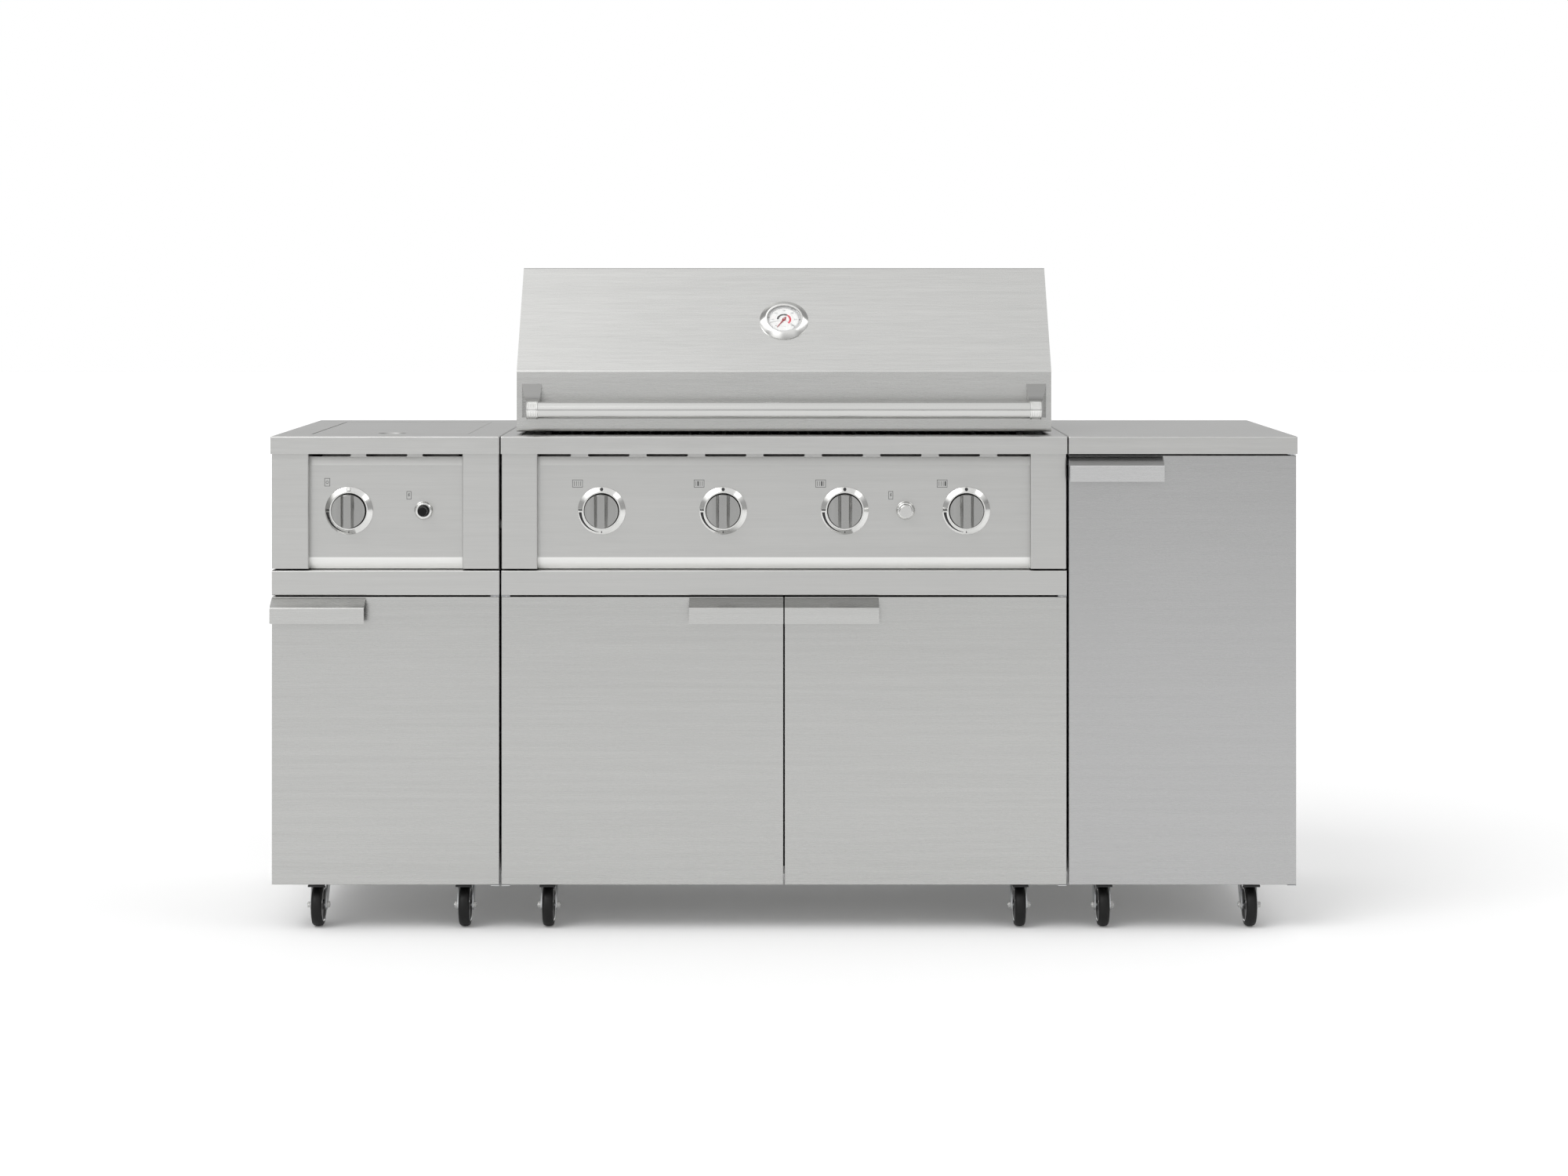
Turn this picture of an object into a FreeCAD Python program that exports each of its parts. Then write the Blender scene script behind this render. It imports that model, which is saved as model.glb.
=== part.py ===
import FreeCAD, Part
import math
import os

# An outdoor kitchen island: three steel cabinets under one worktop, a four-burner grill
# under a hood in the middle, and a side burner under a flush lid on the left.
# Lengths are in millimetres. X runs to the right, Y to the back and Z up. While a piece is
# drawn, Y = 0 is the worktop's front edge. save() then moves the origin to the floor,
# under the middle of the island's outline.

Vector = FreeCAD.Vector

# Worktop
WORKTOP_HEIGHT = 870.0
WORKTOP_DEPTH = 600.0
SIDE_WIDTH = 402.0
CENTRE_WIDTH = 995.0
SEAM = 1.5
FASCIA_HEIGHT = 31.0
FASCIA_LIP = 14.0
WORKTOP_EDGE_R = 2.5

# Sheet metal
SHEET = 1.5
BEND = 1.0

# Cabinets
FRONT_SETBACK = 8.0
FRONT_INSET = 1.25
PANEL_INSET = 2.4
CARCASS_FRONT = 35.0
BACK_OVERHANG = 25.0
FLOOR_LIP = 15.0
SHELF_HEIGHT = 460.0
SHELF_SETBACK = 60.0

# Front frame
STILE_HEIGHT = 202.0
SIDE_STILE = 66.0
CENTRE_STILE = 64.5
STILE_RETURN = 52.0
REVEAL = 3.0
RAIL_HEIGHT = 44.0

# Doors
DOOR_THICKNESS = 24.0
DOOR_TOP_GAP = 2.5
TALL_DOOR_TOP_GAP = 3.0
DOOR_DROP = 13.0
DOOR_EDGE_R = 1.2
DOOR_PIVOT_IN = 8.0
DOOR_PIVOT_DEEP = 5.0
DOOR_PIN_R = 2.2
DOOR_PIN_REACH = 8.0
HINGE_PLATE_WIDTH = 15.0
GRIP_LENGTH = 165.0
GRIP_OUT = 26.0
GRIP_SLOPE = 17.0
GRIP_LIP = 27.5
HINGE_GAP = 0.5
HINGE_STEP_IN = 4.0
HINGE_FOOT = 20.0

# Control panels
PANEL_RECESS = 14.0
PANEL_TOP_FOLD = 3.0
PANEL_LOW_FOLD = 5.0
PANEL_LEDGE = 31.0
PANEL_TOP_DROP = 21.0
TOP_BAND_HEIGHT = 14.5
PANEL_FACE_HEIGHT = 162.0
BOTTOM_BAND_HEIGHT = 21.0
PANEL_TOP_FLANGE = 27.0
PANEL_LOW_FLANGE = 20.0
VENT_LENGTH = 73.0
VENT_HEIGHT = 5.0
VENT_PITCH = 102.9
SIDE_VENT_PITCH = 99.5
VENT_RISE = 3.0

# Controls
KNOB_RISE = 1.0
KNOB_PITCH = 214.0
SIDE_CONTROL_SPREAD = 65.7
KNOB_DIAMETER = 59.0
KNOB_PROUD = 28.0
KNOB_RIM = 12.0
KNOB_BAR_WIDTH = 13.5
KNOB_STANDOFF = 2.0
KNOB_SCOOP_R = 20.0
KNOB_EDGE_R = 1.5
BEZEL_DIAMETER = 84.0
BEZEL_HEIGHT = 6.5
BEZEL_FOOT = 1.5
BEZEL_LIP = 2.5
KNOB_CLEARANCE = 1.5
STEM_R = 4.0
STEM_LENGTH = 20.0
STEM_HOLE_R = 8.0
IGNITER_PROUD = 26.0
IGNITER_TRAVEL = 6.0
IGNITER_STEM_R = 8.0
IGNITER_CAP_R = 11.5
IGNITER_CLEARANCE = 0.4
IGNITER_BARREL_R = 11.0
IGNITER_BARREL = 18.0
IGNITER_BEZEL_R = 16.5
IGNITER_BEZEL_FOOT = 1.2
IGNITER_BEZEL_HEIGHT = 5.5
IGNITER_STEM_SHORT = 2.0
BARREL_FIT = 0.2

# Gas
PIPE_R = 9.0
MANIFOLD_IN = 30.0
MANIFOLD_DROP = 26.0
MANIFOLD_ROOM = 3.0
VALVE_WIDTH = 26.0
VALVE_LENGTH = 32.0
VALVE_SEAT = 8.0
VALVE_SADDLE = 3.0
SPUD_R = 4.0
SPUD_LENGTH = 14.0
SPUD_IN_MOUTH = 3.5
SUPPLY_IN = 25.5
STUB_R = 10.5
STUB_LENGTH = 20.0
STUB_WALL = 3.0
STUB_COLLAR_R = 15.0
STUB_COLLAR = 5.0

# Firebox
GRILL_SIDE_MARGIN = 31.5
GRILL_FRONT = 54.0
GRILL_BACK_MARGIN = 68.0
FIREBOX_SIDE_IN = 16.0
FIREBOX_FRONT_IN = 38.0
FIREBOX_BACK_IN = 30.5
FIREBOX_SIDE_DEPTH = 178.5
FIREBOX_FALL = 42.0
GREASE_SLOT_HALF = 230.0
LEDGE_LAP = 4.0
LEDGE_DEPTH = 10.0
FLOOR_DROP = 1.65
BURNER_R = 14.0
BURNER_WALL = 1.5
BURNER_FIT = 0.4
TAMER_OVER_BURNER = 33.5
TAMER_HALF = 60.0
TAMER_RISE = 38.0
TAMER_RIDGE = 1.8
TAMER_END_GAP = 0.5
GRATE_DOWN = 22.0
GRATE_COUNT = 4
GRATE_THICKNESS = 10.0
GRATE_BAR = 8.0
GRATE_BARS = 11
GRATE_GAP = 2.0
GRATE_END_GAP = 1.0
GRATE_TIE_DROP = 2.0
RACK_UP = 115.0
RACK_DEPTH = 100.0
RACK_BACK_IN = 31.5
RACK_RODS = 7
RACK_ROD_R = 2.5
RACK_FRAME = 4.0
RACK_LEG_IN = 10.0

# Drip tray
TRAY_LAP = 10.0
TRAY_DROP = 8.0
TRAY_HEIGHT = 40.0
TRAY_FRONT_IN = 18.0
TRAY_FLANGE = 14.0
TRAY_GRIP = 20.0
TRAY_GRIP_LIP = 20.0
TRAY_PLATE_LAP = 8.0
RUNNER_GAP = 2.5
RUNNING_GAP = 0.3

# Hood
HOOD_LAP = 8.0
HOOD_FRONT_IN = 6.0
HOOD_GAP = 5.0
HOOD_APRON = 107.0
HOOD_RUN = 154.0
HOOD_RISE = 183.0
HOOD_BEND = 4.5
HOOD_LIP = 15.0
HOOD_AXIS_IN = 15.0
HOOD_AXIS_UP = 30.0
HOOD_PIN_R = 4.0
HOOD_PIN_REACH = 5.0
HOOD_SEAM = 0.1
EAR_GAP = 0.8
EAR_THICKNESS = 3.0
EAR_R = 14.0
EAR_ROUND = 13.0
EAR_FOOT = 12.0
BUMPER_R = 6.0
BUMPER_SIDE_IN = 56.0
BUMPER_IN = 7.0
HANDLE_R = 14.5
HANDLE_WALL = 2.0
HANDLE_END_IN = 43.0
HANDLE_OUT = 62.0
HANDLE_UP = 41.0
COLLAR_R = 16.0
COLLAR_LENGTH = 20.0
COLLAR_BORE = 15.0
BRACKET_WIDTH = 35.0
BRACKET_HEIGHT = 60.0
BRACKET_UP = 25.0
BRACKET_SIDE_IN = 27.0
BRACKET_END_WIDTH = 18.0
BRACKET_END_HEIGHT = 24.0

# Thermometer
GAUGE_ALONG_SLOPE = 116.0
GAUGE_R = 43.5
GAUGE_DIAL_R = 30.0
GAUGE_HEIGHT = 7.5
GAUGE_FOOT = 1.5
GAUGE_LIP = 3.0
GAUGE_FIT = 0.2
GAUGE_DIAL = 3.0
GAUGE_POST_R = 1.0
GAUGE_POST = 5.2
GAUGE_STEM_R = 5.0
GAUGE_STEM = 45.0
LENS_DOWN = 2.0
LENS_THICKNESS = 1.2
NEEDLE_LENGTH = 21.5
NEEDLE_TAIL = 6.0
NEEDLE_TAIL_WIDTH = 2.8
NEEDLE_TIP_WIDTH = 0.8
NEEDLE_THICKNESS = 0.8
NEEDLE_HUB_R = 3.2
NEEDLE_LEVEL = 3.6
NEEDLE_REST = 236.0

# Side burner
LID_SIDE_MARGIN = 63.0
LID_FRONT = 75.0
LID_BACK_MARGIN = 85.0
LID_GAP = 2.0
LID_BACK_GAP = 4.0
LID_FLANGE = 14.0
LID_PIVOT_IN = 10.0
LID_PIVOT_DOWN = 8.0
LID_PIN_R = 2.5
LID_PIN_REACH = 3.5
WELL_FLANGE = 17.0
DISH_R = 25.0
DISH_DEPTH = 9.0
DISH_IN = 30.0
BOWL_MARGIN = 15.0
BOWL_DEPTH = 53.0
BOWL_FRONT_CLEAR = 6.0
BOWL_BACK_CLEAR = 28.0
BOWL_RIM_BACK = 2.0
BOWL_HOLE_R = 26.0
BURNER_HEAD_R = 50.0
BURNER_HEAD_RISE = 6.0
BURNER_HEAD_HEIGHT = 16.0
BURNER_FLANGE_R = 36.0
VENTURI_R = 12.0
VENTURI_WALL = 2.0
VENTURI_MOUTH = 40.0
VENTURI_STRAIGHT = 46.0
POT_RING_R = 95.0
POT_BAR_PAST_RING = 10.0
POT_GRATE_DOWN = 22.0
POT_BAR = 8.0

# Casters
WHEEL_R = 37.5
WHEEL_WIDTH = 20.0
WHEEL_EDGE_R = 5.0
DISHED_R = 22.0
DISHED = 3.0
HUB_R = 8.0
AXLE_R = 3.0
AXLE_BACK = 58.0
REAR_AXLE_IN = 55.0
CASTER_TRAIL = 32.0
WHEEL_SIDE_GAP = 2.0
WHEEL_TOP_GAP = 3.5
FORK_SHEET = 2.5
FORK_CROWN_HALF = 20.0
FORK_TOE_R = 10.0
FORK_RACE_R = 24.0
PLATE_RACE_R = 22.0
RACE_HEIGHT = 11.0
RIGID_NECK_R = 20.0
CASTER_PLATE = 3.0
CASTER_PLATE_HALF = 30.0
KINGPIN_R = 5.0
AXLE_HEAD_R = 4.8
AXLE_HEAD = 5.0
PEDAL_HALF = 13.8
PEDAL_SHEET = 2.6
PEDAL_GAP = 0.3
PEDAL_TIP = 20.0
PEDAL_SHOULDER = 66.0
PEDAL_HEEL = 80.0
PEDAL_EAR = 8.0
PEDAL_EAR_SHEET = 1.4
PEDAL_EAR_FRONT = 5.0
PEDAL_PIN_BACK = 74.0
PEDAL_PIN_DOWN = 4.5
PEDAL_PIN_R = 1.4
PEDAL_PIN_HEAD_R = 2.2
PEDAL_PIN_HEAD = 1.2
SIDE_CASTER_IN = 71.0
SIDE_CASTER_SHIFT = 5.75
CENTRE_CASTER_IN = 81.0

# Fasteners and fits
SCREW_R = 4.0
SCREW_HEAD = 2.0
BACK_SCREW_IN = 12.0
BACK_SCREW_END = 35.0
BACK_SCREW_ROWS = 4
CASTER_SCREW_HEAD = 3.0
CASTER_SCREW_SPREAD = 22.0
CABINET_BOLT_R = 4.0
CABINET_BOLT_IN = 50.0
HEAD_RATIO = 1.7
RUNNING_FIT = 0.05
HOLE_FIT = 0.02

# Worked out from the sizes above: the casters and the cabinets
FORK_GAP = WHEEL_WIDTH + 2 * WHEEL_SIDE_GAP
FORK_CROWN_BOTTOM = 2 * WHEEL_R + WHEEL_TOP_GAP
FLOOR_HEIGHT = FORK_CROWN_BOTTOM + FORK_SHEET + RACE_HEIGHT + CASTER_PLATE
SIDE_X = (CENTRE_WIDTH + SIDE_WIDTH) / 2 + SEAM
BACK_FACE = WORKTOP_DEPTH - BACK_OVERHANG
REAR_AXLE_BACK = BACK_FACE - REAR_AXLE_IN
SIDE_CASTER_SPREAD = SIDE_WIDTH / 2 - SIDE_CASTER_IN
CENTRE_CASTER_SPREAD = CENTRE_WIDTH / 2 - CENTRE_CASTER_IN
WORKTOP_UNDER = WORKTOP_HEIGHT - SHEET

# The front
FASCIA_BOTTOM = WORKTOP_HEIGHT - FASCIA_HEIGHT
STILE_BOTTOM = FASCIA_BOTTOM - STILE_HEIGHT
RAIL_TOP = STILE_BOTTOM - REVEAL
RAIL_BOTTOM = RAIL_TOP - RAIL_HEIGHT
LOW_DOOR_TOP = RAIL_BOTTOM - DOOR_TOP_GAP
TALL_DOOR_TOP = FASCIA_BOTTOM - TALL_DOOR_TOP_GAP
DOOR_BOTTOM = FLOOR_HEIGHT - DOOR_DROP
PANEL_FACE = FRONT_SETBACK + PANEL_RECESS
PANEL_TOP_Y = PANEL_FACE + PANEL_TOP_FOLD
PANEL_LOW_Y = PANEL_FACE + PANEL_LOW_FOLD
PANEL_FACE_TOP = FASCIA_BOTTOM - PANEL_TOP_DROP
KNOB_HEIGHT = PANEL_FACE_TOP - PANEL_FACE_HEIGHT / 2 + KNOB_RISE
SIDE_KNOB_X = -SIDE_X - SIDE_CONTROL_SPREAD
SIDE_IGNITER_X = -SIDE_X + SIDE_CONTROL_SPREAD
MAIN_KNOB_X = [(i - 1.5) * KNOB_PITCH for i in range(4)]
MAIN_IGNITER_X = KNOB_PITCH

# The grill, its gas parts and its hood
GRILL_HALF = CENTRE_WIDTH / 2 - GRILL_SIDE_MARGIN
GRILL_BACK = WORKTOP_DEPTH - GRILL_BACK_MARGIN
FIREBOX_HALF = GRILL_HALF - FIREBOX_SIDE_IN
FIREBOX_FRONT = GRILL_FRONT + FIREBOX_FRONT_IN
FIREBOX_BACK = GRILL_BACK - FIREBOX_BACK_IN
FIREBOX_FLOOR_EDGE = WORKTOP_UNDER - FIREBOX_SIDE_DEPTH
FIREBOX_LOW = FIREBOX_FLOOR_EDGE - FIREBOX_FALL
MANIFOLD_BACK = PANEL_FACE + MANIFOLD_IN
MANIFOLD_HEIGHT = KNOB_HEIGHT - MANIFOLD_DROP
VALVE_BACK = PANEL_FACE + SHEET + VALVE_LENGTH
BURNER_MOUTH = VALVE_BACK + SPUD_LENGTH - SPUD_IN_MOUTH
SUPPLY_X = CENTRE_WIDTH / 2 - SUPPLY_IN
TAMER_HEIGHT = KNOB_HEIGHT + BURNER_R + TAMER_OVER_BURNER
GRATE_HEIGHT = WORKTOP_HEIGHT - GRATE_DOWN
RACK_HEIGHT = WORKTOP_HEIGHT + RACK_UP
RACK_BACK = FIREBOX_BACK - RACK_BACK_IN
RACK_FRONT = RACK_BACK - RACK_DEPTH
TRAY_HALF = GREASE_SLOT_HALF + TRAY_LAP
TRAY_TOP = FIREBOX_LOW - TRAY_DROP
TRAY_BOTTOM = TRAY_TOP - TRAY_HEIGHT
TRAY_FRONT = FIREBOX_FRONT + TRAY_FRONT_IN
HOOD_HALF = GRILL_HALF + HOOD_LAP
HOOD_FRONT = GRILL_FRONT + HOOD_FRONT_IN
HOOD_BACK = GRILL_BACK + HOOD_LAP
HOOD_BOTTOM = WORKTOP_HEIGHT + HOOD_GAP
HOOD_TOP = HOOD_BOTTOM + HOOD_APRON + HOOD_RISE
HOOD_AXIS = Vector(0, HOOD_BACK - HOOD_AXIS_IN, HOOD_BOTTOM + HOOD_AXIS_UP)
BUMPER_X = HOOD_HALF - BUMPER_SIDE_IN
HANDLE_HALF = HOOD_HALF - HANDLE_END_IN
HANDLE_HEIGHT = HOOD_BOTTOM + HANDLE_UP
BRACKET_BOTTOM = HOOD_BOTTOM + BRACKET_UP
BRACKET_CENTRE = HOOD_HALF - BRACKET_SIDE_IN

# The side burner
LID_WIDTH = SIDE_WIDTH - 2 * LID_SIDE_MARGIN
LID_DEPTH = WORKTOP_DEPTH - LID_FRONT - LID_BACK_MARGIN
POT_GRATE_TOP = WORKTOP_HEIGHT - POT_GRATE_DOWN

FRONT_REACH = max(
    GRIP_OUT - FRONT_SETBACK,
    HANDLE_OUT - HOOD_FRONT + HANDLE_R,
    KNOB_PROUD - PANEL_FACE,
)
OUTLINE_CENTRE_Y = (WORKTOP_DEPTH - FRONT_REACH) / 2


# Basic shapes

def block(x0, x1, y0, y1, z0, z1):
    return Part.makeBox(x1 - x0, y1 - y0, z1 - z0, Vector(x0, y0, z0))


def rod(start, direction, length, radius):
    return Part.makeCylinder(radius, length, start, direction)


def rod_x(x0, x1, y, z, radius):
    return rod(Vector(x0, y, z), Vector(1, 0, 0), x1 - x0, radius)


def rod_y(x, y0, y1, z, radius):
    return rod(Vector(x, y0, z), Vector(0, 1, 0), y1 - y0, radius)


def rod_z(x, y, z0, z1, radius):
    return rod(Vector(x, y, z0), Vector(0, 0, 1), z1 - z0, radius)


def joined(shapes):
    return shapes[0].fuse(shapes[1:]).removeSplitter() if len(shapes) > 1 else shapes[0]


def lifted(axis, at, u, v):
    """A point of a plane square to an axis."""
    if axis == "x":
        return Vector(at, u, v)
    if axis == "y":
        return Vector(u, at, v)
    return Vector(u, v, at)


def round_corner(before, corner, after, radius):
    """Start, middle and end of the arc that rounds a corner."""
    back = (before - corner).normalize()
    ahead = (after - corner).normalize()
    half = back.getAngle(ahead) / 2
    reach = radius / math.tan(half)
    bisector = (back + ahead).normalize()
    middle = corner + bisector * (radius / math.sin(half) - radius)
    return corner + back * reach, middle, corner + ahead * reach


def prism(corners, axis, start, end):
    """A prism along an axis. A corner is (u, v), or (u, v, radius) to round it."""
    points = [lifted(axis, start, c[0], c[1]) for c in corners]
    radii = [c[2] if len(c) > 2 else 0 for c in corners]
    stretches = []
    edges = []
    for i, point in enumerate(points):
        if radii[i] > 0:
            arc = round_corner(points[i - 1], point, points[(i + 1) % len(points)], radii[i])
            edges.append(Part.Arc(*arc).toShape())
            stretches.append((arc[0], arc[2]))
        else:
            stretches.append((point, point))
    for i, stretch in enumerate(stretches):
        begin = stretch[1]
        finish = stretches[(i + 1) % len(stretches)][0]
        if begin.distanceToPoint(finish) > 1e-6:
            edges.append(Part.makeLine(begin, finish))
    wire = Part.Wire(Part.__sortEdges__(edges))
    return Part.Face(wire).extrude(lifted(axis, end - start, 0, 0))


def shifted_path(path, distance):
    """An open path moved sideways, to the left of its direction, with mitred corners."""
    lines = []
    for (u0, v0), (u1, v1) in zip(path, path[1:]):
        length = math.hypot(u1 - u0, v1 - v0)
        left = (-(v1 - v0) / length * distance, (u1 - u0) / length * distance)
        lines.append(((u0 + left[0], v0 + left[1]), (u1 + left[0], v1 + left[1])))
    moved = [lines[0][0]]
    for (a, b), (c, d) in zip(lines, lines[1:]):
        cross = (b[0] - a[0]) * (d[1] - c[1]) - (b[1] - a[1]) * (d[0] - c[0])
        along = ((c[0] - a[0]) * (d[1] - c[1]) - (c[1] - a[1]) * (d[0] - c[0])) / cross
        moved.append((a[0] + along * (b[0] - a[0]), a[1] + along * (b[1] - a[1])))
    moved.append(lines[-1][1])
    return moved


def folded(path, axis, start, end, thickness=SHEET, bend=BEND):
    """A folded sheet: a path given thickness, to its right if negative, with round bends."""
    moved = shifted_path(path, thickness)
    wide = bend + abs(thickness)
    near_side = [path[0]]
    far_side = [moved[0]]
    for i in range(1, len(path) - 1):
        (u0, v0), (u1, v1), (u2, v2) = path[i - 1 : i + 2]
        left_turn = (u1 - u0) * (v2 - v1) - (v1 - v0) * (u2 - u1) > 0
        path_is_outside = left_turn == (thickness > 0)
        near_side.append((*path[i], wide if path_is_outside else bend))
        far_side.append((*moved[i], bend if path_is_outside else wide))
    near_side.append(path[-1])
    far_side.append(moved[-1])
    return prism(near_side + far_side[::-1], axis, start, end)


def turned(profile, centre, direction):
    """A profile of (radius, height) turned about a line through the centre."""
    points = [Vector(r, 0, h) for r, h in profile]
    face = Part.Face(Part.makePolygon(points + [points[0]]))
    solid = face.revolve(Vector(0, 0, 0), Vector(0, 0, 1), 360)
    solid.Placement = FreeCAD.Placement(
        centre, FreeCAD.Rotation(Vector(0, 0, 1), direction)
    )
    return solid


def edges_at(shape, test):
    return [edge for edge in shape.Edges if test(edge)]


def along(edge, direction):
    """Whether a straight edge runs along a direction."""
    if edge.Curve.TypeId != "Part::GeomLine":
        return False
    return abs(abs(edge.Curve.Direction.dot(direction)) - 1) < 1e-6


def rounded_tray(x0, x1, y0, y1, z0, z1, radius, wall, open_below):
    """A pan of folded sheet with round outer edges, open below or above."""
    body = block(x0, x1, y0, y1, z0, z1)
    closed_z = z1 if open_below else z0
    soft = edges_at(body, lambda e: along(e, Vector(0, 0, 1)) or on_level(e, closed_z))
    body = body.makeFillet(radius, soft)
    low = z0 - 1 if open_below else z0 + wall
    high = z1 - wall if open_below else z1 + 1
    hollow = block(x0 + wall, x1 - wall, y0 + wall, y1 - wall, low, high)
    return body.cut(hollow)


def on_level(edge, z):
    return all(abs(vertex.Point.z - z) < 1e-6 for vertex in edge.Vertexes)


def save(node, solids):
    """Write one node, moved into the part's own frame."""
    shape = Part.makeCompound(solids) if len(solids) > 1 else solids[0]
    shape = shape.copy()
    shape.translate(Vector(0, -OUTLINE_CENTRE_Y, 0))
    shape.exportStep("parts/" + node + ".step")


# Worktops

def worktop_pan(x, width):
    half = width / 2
    pan = rounded_tray(
        x - half, x + half, 0, WORKTOP_DEPTH, FASCIA_BOTTOM, WORKTOP_HEIGHT,
        WORKTOP_EDGE_R, SHEET, True,
    )
    lip = block(
        x - half + SHEET, x + half - SHEET, SHEET / 2, FASCIA_LIP,
        FASCIA_BOTTOM, FASCIA_BOTTOM + SHEET,
    )
    return joined([pan, lip])


def lid_well(grow, bottom, top):
    """The space of the side burner's opening, grown sideways."""
    half = LID_WIDTH / 2 + LID_GAP + grow
    back = LID_FRONT + LID_DEPTH + LID_BACK_GAP + grow
    return block(-SIDE_X - half, -SIDE_X + half, LID_FRONT - LID_GAP - grow, back, bottom, top)


def lid_axis():
    return (
        LID_FRONT + LID_DEPTH - LID_PIVOT_IN,
        WORKTOP_HEIGHT - LID_PIVOT_DOWN,
    )


def left_worktop():
    flange_bottom = WORKTOP_HEIGHT - WELL_FLANGE
    frame = lid_well(SHEET, flange_bottom, WORKTOP_UNDER + SHEET / 2)
    y, z = lid_axis()
    reach = LID_WIDTH / 2 + LID_GAP + 2 * SHEET
    pin_hole = rod_x(-SIDE_X - reach, -SIDE_X + reach, y, z, LID_PIN_R + HOLE_FIT)
    pan = joined([worktop_pan(-SIDE_X, SIDE_WIDTH), frame])
    return pan.cut([lid_well(0, flange_bottom - 1, WORKTOP_HEIGHT + 1), pin_hole])


def centre_worktop():
    pan = worktop_pan(0, CENTRE_WIDTH)
    opening = block(
        -GRILL_HALF, GRILL_HALF, GRILL_FRONT, GRILL_BACK, WORKTOP_UNDER - 1, WORKTOP_HEIGHT + 1
    )
    return pan.cut(opening)


def right_worktop():
    return worktop_pan(SIDE_X, SIDE_WIDTH)


# Cabinets

def modules():
    """Centre and width of the left, centre and right cabinets."""
    return [(-SIDE_X, SIDE_WIDTH), (0.0, CENTRE_WIDTH), (SIDE_X, SIDE_WIDTH)]


def inner_half(width):
    return width / 2 - PANEL_INSET - SHEET


def crossing_hole():
    """Room for the gas manifold where it crosses the cabinet sides and stiles."""
    return rod_x(
        -SIDE_X, SUPPLY_X - PIPE_R, MANIFOLD_BACK, MANIFOLD_HEIGHT, PIPE_R + MANIFOLD_ROOM
    )


def cabinet_side_panels():
    panels = []
    for x, width in modules():
        outer = width / 2 - PANEL_INSET
        for side in (-1, 1):
            face = x + side * outer
            low, high = sorted((face, face - side * SHEET))
            panel = block(low, high, CARCASS_FRONT, BACK_FACE, FLOOR_HEIGHT, WORKTOP_UNDER)
            panels.append(panel.cut([crossing_hole()] + cabinet_bolt_holes()))
    return panels


def cabinet_bolt_places():
    """Where the cabinets are bolted together: the seams, and places along their sides."""
    seams = (-CENTRE_WIDTH / 2 - SEAM / 2, CENTRE_WIDTH / 2 + SEAM / 2)
    depths = (CARCASS_FRONT + CABINET_BOLT_IN, BACK_FACE - CABINET_BOLT_IN)
    heights = (FLOOR_HEIGHT + CABINET_BOLT_IN, WORKTOP_UNDER - CABINET_BOLT_IN)
    return [(x, y, z) for x in seams for y in depths for z in heights]


def cabinet_bolt_holes():
    reach = PANEL_INSET + SEAM + 2 * SHEET
    return [
        rod_x(x - reach, x + reach, y, z, CABINET_BOLT_R + HOLE_FIT)
        for x, y, z in cabinet_bolt_places()
    ]


def cabinet_bolts():
    """Each bolt with its head and nut, and the spacer that fills the seam."""
    spacer_half = PANEL_INSET + SEAM / 2
    seat = spacer_half + SHEET
    pieces = []
    for x, y, z in cabinet_bolt_places():
        shaft = rod_x(x - seat, x + seat, y, z, CABINET_BOLT_R)
        ends = [
            rod_x(x - seat - CABINET_BOLT_R, x - seat, y, z, CABINET_BOLT_R * HEAD_RATIO),
            rod_x(x + seat, x + seat + CABINET_BOLT_R, y, z, CABINET_BOLT_R * HEAD_RATIO),
        ]
        pieces.append(joined([shaft] + ends))
        spacer = rod_x(x - spacer_half, x + spacer_half, y, z, CABINET_BOLT_R * 2)
        pieces.append(spacer.cut(
            rod_x(x - seat, x + seat, y, z, CABINET_BOLT_R + HOLE_FIT)
        ))
    return pieces


def tray_slot():
    half = TRAY_HALF + TRAY_FLANGE + 1
    return block(-half, half, BACK_FACE - 5, BACK_FACE + 1, TRAY_BOTTOM - 1, TRAY_TOP + 1)


def cabinet_back_panels():
    panels = []
    floor_top = FLOOR_HEIGHT + SHEET
    for x, width in modules():
        half = inner_half(width)
        panels.append(
            block(x - half, x + half, BACK_FACE - SHEET, BACK_FACE, floor_top, WORKTOP_UNDER)
        )
    supply = rod_y(SUPPLY_X, BACK_FACE - 5, BACK_FACE + 1, MANIFOLD_HEIGHT, PIPE_R + 1)
    panels[1] = panels[1].cut([tray_slot(), supply])
    return panels


def floor_panel(x, width):
    half = inner_half(width)
    path = [
        (CARCASS_FRONT, FLOOR_HEIGHT + FLOOR_LIP),
        (CARCASS_FRONT, FLOOR_HEIGHT),
        (BACK_FACE, FLOOR_HEIGHT),
    ]
    return folded(path, "x", x - half, x + half)


def shelf():
    half = inner_half(SIDE_WIDTH)
    path = [
        (SHELF_SETBACK, SHELF_HEIGHT - FLOOR_LIP),
        (SHELF_SETBACK, SHELF_HEIGHT),
        (BACK_FACE - SHEET, SHELF_HEIGHT),
    ]
    return folded(path, "x", SIDE_X - half, SIDE_X + half, -SHEET)


def cabinet_floors_and_shelf():
    return [floor_panel(x, width) for x, width in modules()] + [shelf()]


def stile(outer_x, inner_x):
    """A front stile: its outer edge turns back to the cabinet side, its inner edge further."""
    low, high = sorted((outer_x, inner_x))
    outer_back = CARCASS_FRONT
    inner_back = FRONT_SETBACK + STILE_RETURN
    low_back, high_back = (outer_back, inner_back) if outer_x < inner_x else (inner_back, outer_back)
    path = [(high, high_back), (high, FRONT_SETBACK), (low, FRONT_SETBACK), (low, low_back)]
    sheet = folded(path, "z", STILE_BOTTOM, FASCIA_BOTTOM, -SHEET)
    return sheet.cut(crossing_hole())


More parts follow.
